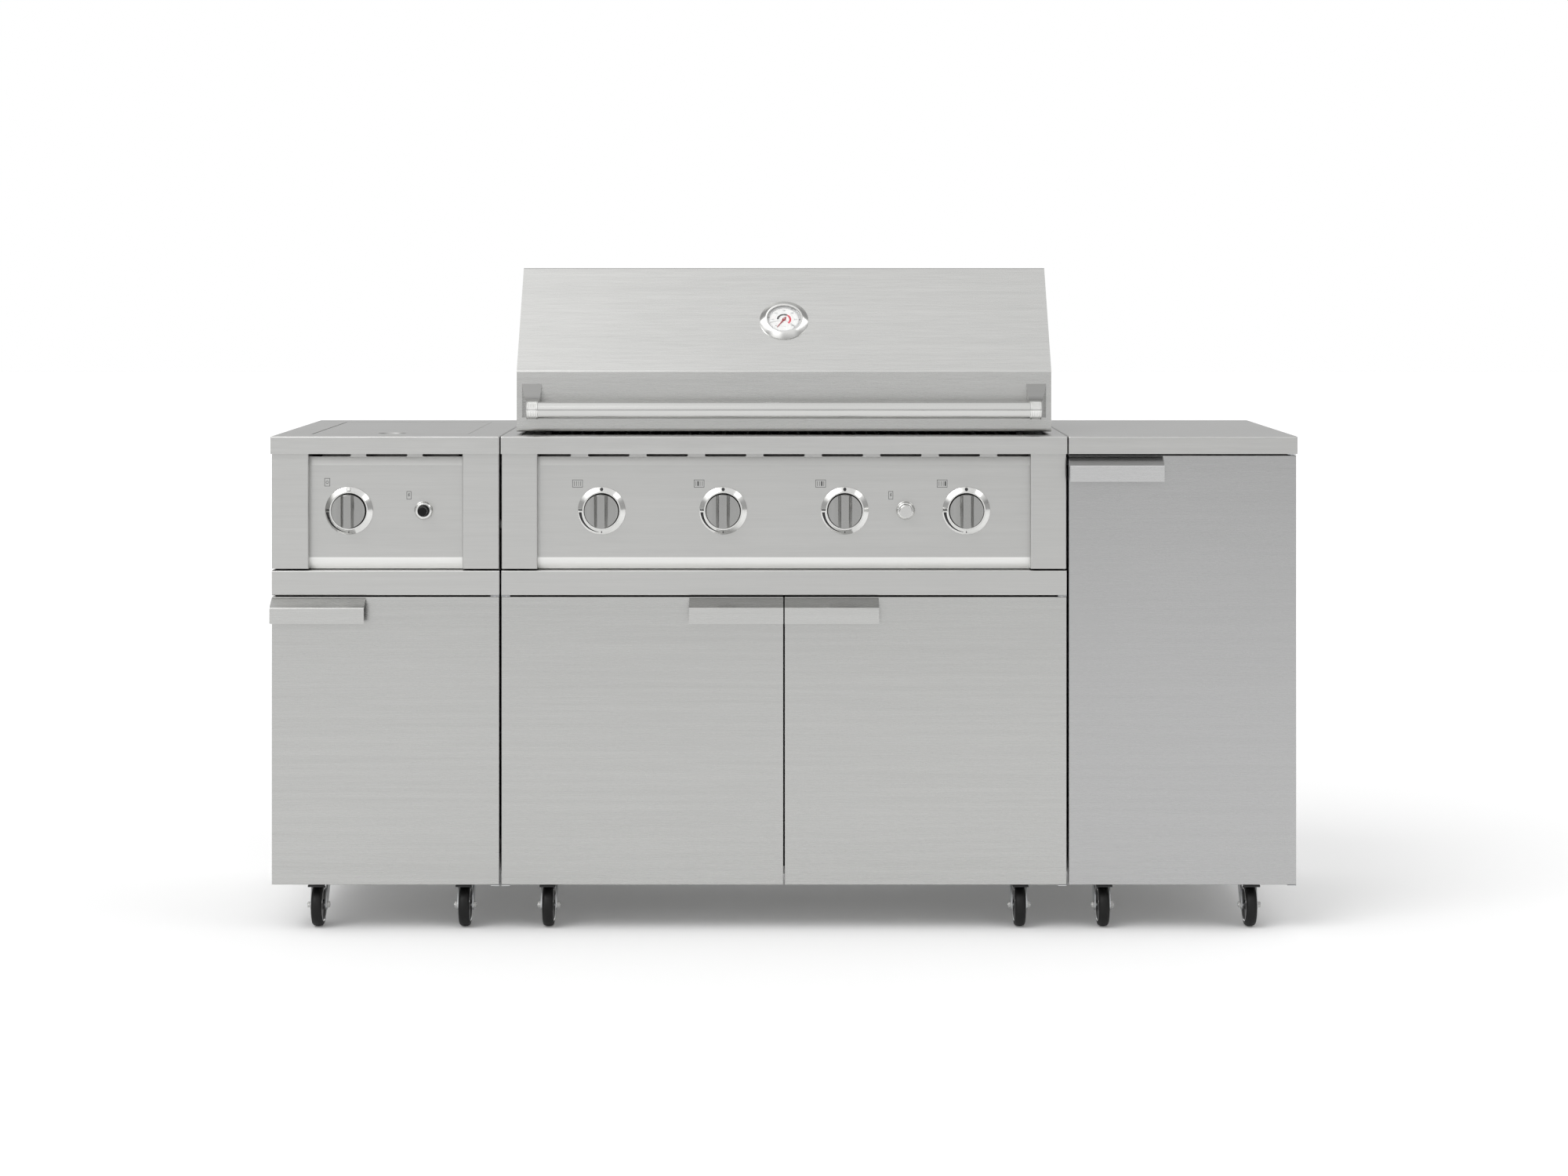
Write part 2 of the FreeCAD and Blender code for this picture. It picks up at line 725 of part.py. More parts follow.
def front_frames():
    pieces = []
    for x, width, stile_width in (
        (-SIDE_X, SIDE_WIDTH, SIDE_STILE),
        (0.0, CENTRE_WIDTH, CENTRE_STILE),
    ):
        outer = width / 2 - FRONT_INSET
        inner = width / 2 - stile_width
        for side in (-1, 1):
            pieces.append(stile(x + side * outer, x + side * inner))
        path = [
            (CARCASS_FRONT, RAIL_TOP),
            (FRONT_SETBACK, RAIL_TOP),
            (FRONT_SETBACK, RAIL_BOTTOM),
            (CARCASS_FRONT, RAIL_BOTTOM),
        ]
        pieces.append(folded(path, "x", x - outer, x + outer))
    pieces.append(tall_door_header())
    return pieces


def tall_door_header():
    """The channel behind the fascia that closes the right cabinet above its tall door."""
    outer = SIDE_WIDTH / 2 - PANEL_INSET
    path = [
        (CARCASS_FRONT, WORKTOP_UNDER),
        (FASCIA_LIP, WORKTOP_UNDER),
        (FASCIA_LIP, FASCIA_BOTTOM),
        (CARCASS_FRONT, FASCIA_BOTTOM),
    ]
    return folded(path, "x", SIDE_X - outer, SIDE_X + outer)


# Control panels

def vent_slot(x, z):
    half = VENT_LENGTH / 2 - VENT_HEIGHT / 2
    radius = VENT_HEIGHT / 2
    front = PANEL_TOP_Y - 3
    back = PANEL_TOP_Y + SHEET + 3
    return joined([
        block(x - half, x + half, front, back, z - radius, z + radius),
        rod_y(x - half, front, back, z, radius),
        rod_y(x + half, front, back, z, radius),
    ])


def control_panel(x, half, vent_pitch, vent_count, knob_xs, igniter_x):
    face_bottom = PANEL_FACE_TOP - PANEL_FACE_HEIGHT
    band_top = PANEL_FACE_TOP + TOP_BAND_HEIGHT
    band_bottom = face_bottom - BOTTOM_BAND_HEIGHT
    path = [
        (PANEL_TOP_Y, band_top + PANEL_TOP_FLANGE),
        (PANEL_TOP_Y, band_top),
        (PANEL_FACE, PANEL_FACE_TOP),
        (PANEL_FACE, face_bottom),
        (PANEL_LOW_Y, band_bottom),
        (PANEL_LOW_Y + PANEL_LEDGE, band_bottom),
        (PANEL_LOW_Y + PANEL_LEDGE, band_bottom - PANEL_LOW_FLANGE),
    ]
    panel = folded(path, "x", x - half, x + half)
    holes = [rod_y(k, PANEL_FACE - 2, PANEL_FACE + 4, KNOB_HEIGHT, STEM_HOLE_R) for k in knob_xs]
    holes.append(
        rod_y(igniter_x, PANEL_FACE - 2, PANEL_FACE + 4, KNOB_HEIGHT,
              IGNITER_BARREL_R + BARREL_FIT)
    )
    vent_z = band_top + VENT_RISE
    middle = (vent_count - 1) / 2
    holes += [vent_slot(x + (i - middle) * vent_pitch, vent_z) for i in range(vent_count)]
    return panel.cut(holes)


def control_panels():
    side_half = SIDE_WIDTH / 2 - SIDE_STILE
    centre_half = CENTRE_WIDTH / 2 - CENTRE_STILE
    return [
        control_panel(-SIDE_X, side_half, SIDE_VENT_PITCH, 3, [SIDE_KNOB_X], SIDE_IGNITER_X),
        control_panel(0.0, centre_half, VENT_PITCH, 9, MAIN_KNOB_X, MAIN_IGNITER_X),
    ]


def control_bezel(x):
    outer = BEZEL_DIAMETER / 2
    inner = KNOB_DIAMETER / 2 + KNOB_CLEARANCE
    profile = [
        (inner, 0),
        (outer, 0),
        (outer, BEZEL_FOOT),
        (inner + BEZEL_LIP, BEZEL_HEIGHT),
        (inner, BEZEL_HEIGHT),
    ]
    return turned(profile, Vector(x, PANEL_FACE, KNOB_HEIGHT), Vector(0, -1, 0))


def igniter_bezel(x):
    bore = IGNITER_STEM_R + IGNITER_CLEARANCE
    profile = [
        (bore, -IGNITER_BARREL),
        (IGNITER_BARREL_R, -IGNITER_BARREL),
        (IGNITER_BARREL_R, 0),
        (IGNITER_BEZEL_R, 0),
        (IGNITER_BEZEL_R, IGNITER_BEZEL_FOOT),
        (IGNITER_CAP_R + KNOB_CLEARANCE, IGNITER_BEZEL_HEIGHT),
        (bore, IGNITER_BEZEL_HEIGHT),
    ]
    return turned(profile, Vector(x, PANEL_FACE, KNOB_HEIGHT), Vector(0, -1, 0))


def control_bezels():
    pieces = [control_bezel(x) for x in [SIDE_KNOB_X] + MAIN_KNOB_X]
    return pieces + [igniter_bezel(SIDE_IGNITER_X), igniter_bezel(MAIN_IGNITER_X)]


def knob(x):
    """A knob with a raised grip bar between two scooped sides, and its valve stem."""
    radius = KNOB_DIAMETER / 2
    back = PANEL_FACE - KNOB_STANDOFF
    front = PANEL_FACE - KNOB_PROUD
    head = rod_y(x, front, back, KNOB_HEIGHT, radius)
    head = head.makeFillet(KNOB_EDGE_R, edges_at(head, lambda e: on_depth(e, front)))
    scoop_y = back - KNOB_RIM - KNOB_SCOOP_R
    scoop_x = KNOB_BAR_WIDTH / 2 + math.sqrt(KNOB_SCOOP_R ** 2 - (front - scoop_y) ** 2)
    scoops = [
        rod_z(x + side * scoop_x, scoop_y, KNOB_HEIGHT - radius - 1, KNOB_HEIGHT + radius + 1,
              KNOB_SCOOP_R)
        for side in (-1, 1)
    ]
    stem = rod_y(x, back, back + STEM_LENGTH, KNOB_HEIGHT, STEM_R)
    return [head.cut(scoops), stem]


def on_depth(edge, y):
    return all(abs(vertex.Point.y - y) < 1e-6 for vertex in edge.Vertexes)


def igniter_button(x, cap_r):
    """A push button: a stem in the bezel's bore, and a cap of the same or a larger radius."""
    seat = PANEL_FACE + IGNITER_BARREL - IGNITER_TRAVEL - IGNITER_STEM_SHORT
    front = PANEL_FACE - IGNITER_PROUD
    cap = rod_y(x, front, front + IGNITER_PROUD / 2, KNOB_HEIGHT, cap_r)
    cap = cap.makeFillet(KNOB_EDGE_R, edges_at(cap, lambda e: on_depth(e, front)))
    stem = rod_y(x, front + IGNITER_PROUD / 2, seat, KNOB_HEIGHT, IGNITER_STEM_R)
    return joined([cap, stem])


# Doors

def door_pan(x0, x1, top):
    body = block(x0, x1, FRONT_SETBACK, FRONT_SETBACK + DOOR_THICKNESS, DOOR_BOTTOM, top)
    soft = edges_at(body, lambda e: on_depth(e, FRONT_SETBACK))
    body = body.makeFillet(DOOR_EDGE_R, soft)
    hollow = block(
        x0 + SHEET, x1 - SHEET, FRONT_SETBACK + SHEET, FRONT_SETBACK + DOOR_THICKNESS + 1,
        DOOR_BOTTOM + SHEET, top - SHEET,
    )
    return body.cut(hollow)


def door_liner(x0, x1, top):
    back = FRONT_SETBACK + DOOR_THICKNESS
    return block(
        x0 + SHEET, x1 - SHEET, back - SHEET, back, DOOR_BOTTOM + SHEET, top - SHEET
    )


def door_grip(x0, x1, top):
    """A folded grip: a band that slopes out and down, then a lip that hangs."""
    lip_y = FRONT_SETBACK - GRIP_OUT
    path = [
        (lip_y, top - GRIP_SLOPE - GRIP_LIP),
        (lip_y, top - GRIP_SLOPE),
        (FRONT_SETBACK, top - DOOR_EDGE_R),
    ]
    sheet = folded(path, "x", x0, x1, -SHEET)
    inside_door = block(
        x0 - 1, x1 + 1, FRONT_SETBACK, FRONT_SETBACK + DOOR_THICKNESS, top - GRIP_SLOPE, top + 1
    )
    return sheet.cut(inside_door)


def door(x0, x1, top, hinge_side):
    """A door between two edges; hinge_side is -1 for the left edge, 1 for the right."""
    hinge_x = (x1 if hinge_side > 0 else x0) - hinge_side * DOOR_PIVOT_IN
    pivot_y = FRONT_SETBACK + DOOR_PIVOT_DEEP
    bore = rod_z(hinge_x, pivot_y, DOOR_BOTTOM - 1, top + 1, DOOR_PIN_R + RUNNING_FIT)
    grip = (x0, x0 + GRIP_LENGTH) if hinge_side > 0 else (x1 - GRIP_LENGTH, x1)
    return [
        door_pan(x0, x1, top).cut(bore),
        door_liner(x0, x1, top),
        door_grip(*grip, top),
    ]


def door_edges():
    """Left edge, right edge, top and hinge side of each door, by node name."""
    left = -SIDE_X - SIDE_WIDTH / 2 + FRONT_INSET
    left_end = -SIDE_X + SIDE_WIDTH / 2 - FRONT_INSET
    centre = -CENTRE_WIDTH / 2 + FRONT_INSET
    return {
        "left_door": (left, left_end, LOW_DOOR_TOP, 1),
        "centre_left_door": (centre, -FRONT_INSET, LOW_DOOR_TOP, -1),
        "centre_right_door": (FRONT_INSET, -centre, LOW_DOOR_TOP, 1),
        "right_door": (-left_end, -left, TALL_DOOR_TOP, 1),
    }


# Hinges and pins

def door_hinge_plates(x0, x1, top, hinge_side, carried_at):
    """The top and bottom plates of a door, each with its pin."""
    edge = x1 if hinge_side > 0 else x0
    x = edge - hinge_side * DOOR_PIVOT_IN
    y = FRONT_SETBACK + DOOR_PIVOT_DEEP
    low, high = sorted((edge, edge - hinge_side * HINGE_PLATE_WIDTH))
    front = FRONT_SETBACK + HINGE_GAP
    plate_bottom = carried_at - SHEET
    upper = joined([
        block(low, high, front, CARCASS_FRONT, plate_bottom, carried_at),
        rod_z(x, y, top - DOOR_PIN_REACH, plate_bottom + SHEET / 2, DOOR_PIN_R),
    ])
    shelf_top = DOOR_BOTTOM - HINGE_GAP
    step_y = CARCASS_FRONT + HINGE_STEP_IN
    path = [
        (front, shelf_top),
        (step_y, shelf_top),
        (step_y, FLOOR_HEIGHT),
        (step_y + HINGE_FOOT, FLOOR_HEIGHT),
    ]
    lower = joined([
        folded(path, "x", low, high, -SHEET, HINGE_GAP),
        rod_z(x, y, shelf_top - SHEET / 2, DOOR_BOTTOM + DOOR_PIN_REACH, DOOR_PIN_R),
    ])
    return [upper, lower]


def hood_ear(side):
    """An ear that stands on the worktop beside the hood and carries its pivot pin."""
    y = HOOD_AXIS.y
    z = HOOD_AXIS.z
    inner = HOOD_HALF + EAR_GAP
    outer = inner + EAR_THICKNESS
    low, high = sorted((side * inner, side * outer))
    plate = prism(
        [
            (y - EAR_R, WORKTOP_HEIGHT),
            (y - EAR_R, z + EAR_R, EAR_ROUND),
            (y + EAR_R, z + EAR_R, EAR_ROUND),
            (y + EAR_R, WORKTOP_HEIGHT),
        ],
        "x", low, high,
    )
    foot_low, foot_high = sorted((side * inner, side * (outer + EAR_FOOT)))
    foot = block(
        foot_low, foot_high, y - EAR_R, y + EAR_R, WORKTOP_HEIGHT, WORKTOP_HEIGHT + EAR_THICKNESS
    )
    hole = rod_x(low - 1, high + 1, y, z, HOOD_PIN_R + HOLE_FIT)
    return joined([plate, foot]).cut(hole)


def headed_pin(tip, head_seat, direction, radius):
    """A pin from its tip to a head that lies outside its seat."""
    length = abs((head_seat - tip).dot(direction))
    shaft = rod(tip, direction, length, radius)
    head = rod(head_seat, direction, radius, radius * HEAD_RATIO)
    return joined([shaft, head])


def hood_pin(side):
    tip = Vector(side * (HOOD_HALF - HOOD_PIN_REACH), HOOD_AXIS.y, HOOD_AXIS.z)
    seat = Vector(side * (HOOD_HALF + EAR_GAP + EAR_THICKNESS), HOOD_AXIS.y, HOOD_AXIS.z)
    return headed_pin(tip, seat, Vector(side, 0, 0), HOOD_PIN_R)


def lid_pin(side):
    y, z = lid_axis()
    tip = Vector(-SIDE_X + side * (LID_WIDTH / 2 - LID_PIN_REACH), y, z)
    seat = Vector(-SIDE_X + side * (LID_WIDTH / 2 + LID_GAP + SHEET), y, z)
    return headed_pin(tip, seat, Vector(side, 0, 0), LID_PIN_R)


def hinge_plates_and_pins():
    pieces = []
    for name, (x0, x1, top, side) in door_edges().items():
        carried_at = FASCIA_BOTTOM if name == "right_door" else RAIL_BOTTOM
        pieces += door_hinge_plates(x0, x1, top, side, carried_at)
    for side in (-1, 1):
        pieces += [hood_ear(side), hood_pin(side), lid_pin(side)]
    return pieces


# Gas parts

def gas_manifold():
    left_end = SIDE_KNOB_X - VALVE_WIDTH
    across = rod_x(left_end, SUPPLY_X, MANIFOLD_BACK, MANIFOLD_HEIGHT, PIPE_R)
    elbow = Part.makeSphere(PIPE_R, Vector(SUPPLY_X, MANIFOLD_BACK, MANIFOLD_HEIGHT))
    collar_back = BACK_FACE + STUB_COLLAR
    run = rod_y(SUPPLY_X, MANIFOLD_BACK, BACK_FACE, MANIFOLD_HEIGHT, PIPE_R)
    collar = rod_y(SUPPLY_X, BACK_FACE, collar_back, MANIFOLD_HEIGHT, STUB_COLLAR_R)
    stub = rod_y(SUPPLY_X, collar_back, collar_back + STUB_LENGTH, MANIFOLD_HEIGHT, STUB_R)
    bore = rod_y(
        SUPPLY_X, BACK_FACE, collar_back + STUB_LENGTH + 1, MANIFOLD_HEIGHT, STUB_R - STUB_WALL
    )
    return [joined([across, elbow, run, collar, stub]).cut(bore)]


def valve(x):
    half = VALVE_WIDTH / 2
    front = PANEL_FACE + SHEET
    bottom = MANIFOLD_HEIGHT + PIPE_R + VALVE_SADDLE
    saddle_half = PIPE_R + VALVE_SADDLE
    body = block(x - half, x + half, front, VALVE_BACK, bottom, KNOB_HEIGHT + half)
    saddle = block(
        x - half, x + half, MANIFOLD_BACK - saddle_half, MANIFOLD_BACK + saddle_half,
        MANIFOLD_HEIGHT - VALVE_SADDLE, bottom,
    )
    spud = rod_y(x, VALVE_BACK, VALVE_BACK + SPUD_LENGTH, KNOB_HEIGHT, SPUD_R)
    stem_bore = rod_y(x, front - 1, VALVE_BACK - VALVE_SEAT, KNOB_HEIGHT, STEM_R + RUNNING_FIT)
    pipe = rod_x(x - half - 1, x + half + 1, MANIFOLD_BACK, MANIFOLD_HEIGHT, PIPE_R + HOLE_FIT)
    return joined([body, saddle, spud]).cut([stem_bore, pipe])


def gas_valves():
    return [valve(x) for x in [SIDE_KNOB_X] + MAIN_KNOB_X]


# Firebox and what it holds

def firebox_end_wall(y0, y1):
    """The outline shared by the firebox's front and back walls."""
    return prism(
        [
            (-FIREBOX_HALF, WORKTOP_UNDER),
            (-FIREBOX_HALF, FIREBOX_FLOOR_EDGE),
            (-GREASE_SLOT_HALF, FIREBOX_LOW),
            (GREASE_SLOT_HALF, FIREBOX_LOW),
            (FIREBOX_HALF, FIREBOX_FLOOR_EDGE),
            (FIREBOX_HALF, WORKTOP_UNDER),
        ],
        "y", y0, y1,
    )


def firebox_ledges(y0, y1):
    """The shelves that the flame tamers and the cooking grates rest on."""
    half = FIREBOX_HALF - SHEET - GRATE_GAP
    return [
        block(-half, half, y0, y1, level - SHEET, level) for level in (TAMER_HEIGHT, GRATE_HEIGHT)
    ]


def firebox_front():
    wall_back = FIREBOX_FRONT + SHEET
    flange_half = GRILL_HALF + LEDGE_LAP
    ledge = block(
        -flange_half, flange_half, GRILL_FRONT - LEDGE_LAP, wall_back,
        WORKTOP_UNDER - SHEET, WORKTOP_UNDER,
    )
    wall = joined(
        [firebox_end_wall(FIREBOX_FRONT, wall_back), ledge]
        + firebox_ledges(wall_back, wall_back + LEDGE_DEPTH)
    )
    holes = [
        rod_y(x, FIREBOX_FRONT - 1, wall_back + 1, KNOB_HEIGHT, BURNER_R + BURNER_FIT)
        for x in MAIN_KNOB_X
    ]
    return wall.cut(holes)


def firebox_back():
    wall_front = FIREBOX_BACK - SHEET
    flange_half = GRILL_HALF + LEDGE_LAP
    ledge = block(
        -flange_half, flange_half, wall_front, GRILL_BACK + LEDGE_LAP,
        WORKTOP_UNDER - SHEET, WORKTOP_UNDER,
    )
    return joined(
        [firebox_end_wall(wall_front, FIREBOX_BACK), ledge]
        + firebox_ledges(wall_front - LEDGE_DEPTH, wall_front)
    )


def firebox_side(side):
    """A side wall with the flange that carries it on the worktop."""
    inner = side * (FIREBOX_HALF - SHEET)
    wall_x = sorted((inner, side * FIREBOX_HALF))
    flange_x = sorted((inner, side * (GRILL_HALF + LEDGE_LAP)))
    front = FIREBOX_FRONT + SHEET
    back = FIREBOX_BACK - SHEET
    return joined([
        block(*wall_x, front, back, FIREBOX_FLOOR_EDGE, WORKTOP_UNDER),
        block(*flange_x, front, back, WORKTOP_UNDER - SHEET, WORKTOP_UNDER),
    ])


def firebox_floor(side):
    """A floor plate that falls to the grease slot, with the tray's runner under it."""
    plate = prism(
        [
            (side * FIREBOX_HALF, FIREBOX_FLOOR_EDGE),
            (side * GREASE_SLOT_HALF, FIREBOX_LOW),
            (side * GREASE_SLOT_HALF, FIREBOX_LOW - FLOOR_DROP),
            (side * FIREBOX_HALF, FIREBOX_FLOOR_EDGE - FLOOR_DROP),
        ],
        "y", FIREBOX_FRONT + SHEET, FIREBOX_BACK - SHEET,
    )
    web_in = TRAY_HALF + TRAY_FLANGE + RUNNER_GAP
    web_out = web_in + SHEET
    slope = FIREBOX_FALL / (FIREBOX_HALF - GREASE_SLOT_HALF)
    web_top = FIREBOX_LOW + (web_in - GREASE_SLOT_HALF) * slope - FLOOR_DROP / 2
    shelf_top = TRAY_TOP - SHEET - RUNNING_GAP
    back = BACK_FACE - SHEET
    web = block(
        *sorted((side * web_in, side * web_out)), TRAY_FRONT, FIREBOX_BACK - SHEET,
        shelf_top - SHEET, web_top,
    )
    runner = block(
        *sorted((side * (TRAY_HALF + RUNNER_GAP), side * web_out)), TRAY_FRONT, back,
        shelf_top - SHEET, shelf_top,
    )
    return joined([plate, web, runner])


def firebox():
    pieces = [firebox_front(), firebox_back()]
    for side in (-1, 1):
        pieces += [firebox_side(side), firebox_floor(side)]
    return pieces


def main_burners():
    end = FIREBOX_BACK - SHEET
    return [
        rod_y(x, BURNER_MOUTH, end, KNOB_HEIGHT, BURNER_R).cut(
            rod_y(x, BURNER_MOUTH - 1, end - 3, KNOB_HEIGHT, BURNER_R - BURNER_WALL)
        )
        for x in MAIN_KNOB_X
    ]


def flame_tamers():
    pieces = []
    foot = 2 * SHEET
    top = TAMER_HEIGHT + TAMER_RISE
    for x in MAIN_KNOB_X:
        pieces.append(prism(
            [
                (x - TAMER_HALF, TAMER_HEIGHT),
                (x - TAMER_HALF + foot, TAMER_HEIGHT),
                (x, top - TAMER_RIDGE),
                (x + TAMER_HALF - foot, TAMER_HEIGHT),
                (x + TAMER_HALF, TAMER_HEIGHT),
                (x, top),
            ],
            "y", FIREBOX_FRONT + SHEET + TAMER_END_GAP, FIREBOX_BACK - SHEET - TAMER_END_GAP,
        ))
    return pieces


def cooking_grate(x0, x1):
    y0 = FIREBOX_FRONT + SHEET + GRATE_END_GAP
    y1 = FIREBOX_BACK - SHEET - GRATE_END_GAP
    top = GRATE_HEIGHT + GRATE_THICKNESS
    pitch = (x1 - x0 - GRATE_BAR) / (GRATE_BARS - 1)
    bars = [
        block(x0 + i * pitch, x0 + i * pitch + GRATE_BAR, y0, y1, GRATE_HEIGHT, top)
        for i in range(GRATE_BARS)
    ]
    for y in (y0, (y0 + y1 - GRATE_BAR) / 2, y1 - GRATE_BAR):
        bars.append(block(x0, x1, y, y + GRATE_BAR, GRATE_HEIGHT, top - GRATE_TIE_DROP))
    return joined(bars)


def cooking_grates():
    half = FIREBOX_HALF - SHEET - GRATE_GAP
    pitch = 2 * half / GRATE_COUNT
    return [
        cooking_grate(-half + i * pitch, -half + (i + 1) * pitch - GRATE_GAP)
        for i in range(GRATE_COUNT)
    ]


def warming_rack():
    """A wire shelf on two end frames that stand on the firebox's side flanges."""
    leg_x = (FIREBOX_HALF + GRILL_HALF) / 2
    pitch = (RACK_BACK - RACK_FRONT) / (RACK_RODS - 1)
    rods = [
        rod_x(-leg_x, leg_x, RACK_FRONT + i * pitch, RACK_HEIGHT, RACK_ROD_R)
        for i in range(RACK_RODS)
    ]
    ties = [
        rod_y(x, RACK_FRONT, RACK_BACK, RACK_HEIGHT, RACK_ROD_R) for x in (-leg_x / 3, leg_x / 3)
    ]
    pieces = [joined(rods + ties)]
    under = RACK_HEIGHT - RACK_ROD_R
    bar_bottom = under - RACK_FRAME
    front_leg = RACK_FRONT + RACK_LEG_IN
    back_leg = RACK_BACK - RACK_LEG_IN
    for side in (-1, 1):
        across = sorted((side * (leg_x - RACK_FRAME), side * leg_x))
        pieces.append(joined([
            block(*across, RACK_FRONT, RACK_BACK, bar_bottom, under),
            block(*across, front_leg, front_leg + RACK_FRAME, WORKTOP_UNDER, bar_bottom),
            block(*across, back_leg - RACK_FRAME, back_leg, WORKTOP_UNDER, bar_bottom),
        ]))
    return pieces


def drip_tray():
    """A pan on side flanges, with a wide plate and a folded grip behind the cabinet."""
    back = BACK_FACE + RUNNING_GAP
    pan = block(-TRAY_HALF, TRAY_HALF, TRAY_FRONT, back, TRAY_BOTTOM, TRAY_TOP)
    hollow = block(
        -TRAY_HALF + SHEET, TRAY_HALF - SHEET, TRAY_FRONT + SHEET, back - SHEET,
        TRAY_BOTTOM + SHEET, TRAY_TOP + 1,
    )
    flange_x = TRAY_HALF + TRAY_FLANGE
    flanges = [
        block(*sorted((side * (TRAY_HALF - SHEET), side * flange_x)), TRAY_FRONT,
              BACK_FACE, TRAY_TOP - SHEET, TRAY_TOP)
        for side in (-1, 1)
    ]
    plate_half = flange_x + TRAY_PLATE_LAP
    plate_top = TRAY_TOP + TRAY_PLATE_LAP
    plate = block(
        -plate_half, plate_half, back, back + SHEET, TRAY_BOTTOM - TRAY_PLATE_LAP, plate_top
    )
    grip_path = [
        (back + SHEET, plate_top),
        (back + TRAY_GRIP, plate_top),
        (back + TRAY_GRIP, plate_top - TRAY_GRIP_LIP),
    ]
    grip = folded(grip_path, "x", -TRAY_HALF / 2, TRAY_HALF / 2, -SHEET)
    return [joined([pan.cut(hollow)] + flanges + [plate, grip])]


# Hood

def hood_path():
    """The hood's outer line, from its back edge over the top to its front edge."""
    return [
        (HOOD_BACK, HOOD_BOTTOM),
        (HOOD_BACK, HOOD_TOP),
        (HOOD_FRONT + HOOD_RUN, HOOD_TOP),
        (HOOD_FRONT, HOOD_BOTTOM + HOOD_APRON),
        (HOOD_FRONT, HOOD_BOTTOM),
    ]


def slope_up():
    return Vector(0, HOOD_RUN, HOOD_RISE).normalize()


def slope_out():
    """The direction square out of the hood's slope."""
    return Vector(1, 0, 0).cross(slope_up())


def gauge_centre():
    slope_foot = Vector(0, HOOD_FRONT, HOOD_BOTTOM + HOOD_APRON)
    return slope_foot + slope_up() * GAUGE_ALONG_SLOPE


def hood_shell():
    path = hood_path() + [(HOOD_FRONT + HOOD_LIP, HOOD_BOTTOM)]
    sheet = folded(path, "x", -HOOD_HALF, HOOD_HALF, SHEET, HOOD_BEND)
    out = slope_out()
    hole = rod(gauge_centre() - out * 10, out, 20, GAUGE_STEM_R + GAUGE_FIT)
    return [sheet.cut(hole)]


def hood_end_panels():
    inset = SHEET + HOOD_SEAM
    corners = shifted_path(hood_path(), inset)
    floor = HOOD_BOTTOM + inset
    outline = [(corners[0][0], floor)]
    outline += [(u, v, HOOD_BEND) for u, v in corners[1:4]]
    outline.append((corners[4][0], floor, HOOD_BEND))
    bore = rod_x(
        -HOOD_HALF - 1, HOOD_HALF + 1, HOOD_AXIS.y, HOOD_AXIS.z, HOOD_PIN_R + RUNNING_FIT
    )
    left = prism(outline, "x", -HOOD_HALF, -HOOD_HALF + SHEET)
    right = prism(outline, "x", HOOD_HALF - SHEET, HOOD_HALF)
    return [left.cut(bore), right.cut(bore)]


def handle_axis():
    return HOOD_FRONT - HANDLE_OUT, HANDLE_HEIGHT


def hood_handle_bar():
    y, z = handle_axis()
    half = HANDLE_HALF + COLLAR_BORE
    tube = rod_x(-half, half, y, z, HANDLE_R)
    return [tube.cut(rod_x(-half - 1, half + 1, y, z, HANDLE_R - HANDLE_WALL))]


def rectangle(x0, x1, y, z0, z1):
    corners = [(x0, z0), (x1, z0), (x1, z1), (x0, z1), (x0, z0)]
    return Part.makePolygon([Vector(u, y, v) for u, v in corners])


def handle_bracket(side):
    """A wedge that narrows from the hood's apron to the collar round the handle's end."""
    y, z = handle_axis()
    foot = side * BRACKET_CENTRE
    tip = side * (HANDLE_HALF + COLLAR_LENGTH / 2)
    wedge = Part.makeLoft([
        rectangle(foot - BRACKET_WIDTH / 2, foot + BRACKET_WIDTH / 2, HOOD_FRONT,
                  BRACKET_BOTTOM, BRACKET_BOTTOM + BRACKET_HEIGHT),
        rectangle(tip - BRACKET_END_WIDTH / 2, tip + BRACKET_END_WIDTH / 2, y + COLLAR_R / 3,
                  z - BRACKET_END_HEIGHT / 2, z + BRACKET_END_HEIGHT / 2),
    ], True)
    low, high = sorted((side * HANDLE_HALF, side * (HANDLE_HALF + COLLAR_LENGTH)))
    collar = rod_x(low, high, y, z, COLLAR_R)
    bore_ends = sorted((side * (HANDLE_HALF - 1), side * (HANDLE_HALF + COLLAR_BORE)))
    bore = rod_x(*bore_ends, y, z, HANDLE_R + HOLE_FIT)
    return joined([wedge, collar]).cut(bore)


def hood_handle_brackets():
    return [handle_bracket(-1), handle_bracket(1)]


def thermometer_case():
    """The bezel on the hood, and the dial with its pointer post and probe."""
    out = slope_out()
    centre = gauge_centre()
    bore = GAUGE_DIAL_R + GAUGE_FIT
    bezel = turned(
        [
            (bore, 0),
            (GAUGE_R, 0),
            (GAUGE_R, GAUGE_FOOT),
            (bore + GAUGE_LIP, GAUGE_HEIGHT),
            (bore, GAUGE_HEIGHT),
        ],
        centre, out,
    )
    dial = rod(centre, out, GAUGE_DIAL, GAUGE_DIAL_R)
    post = rod(centre, out, GAUGE_POST, GAUGE_POST_R)
    probe = rod(centre - out * GAUGE_STEM, out, GAUGE_STEM + 1, GAUGE_STEM_R)
    return [bezel, joined([dial, post, probe])]


def thermometer_lens():
    out = slope_out()
    bottom = gauge_centre() + out * (GAUGE_HEIGHT - LENS_DOWN)
    return [rod(bottom, out, LENS_THICKNESS, GAUGE_DIAL_R + GAUGE_FIT / 2)]


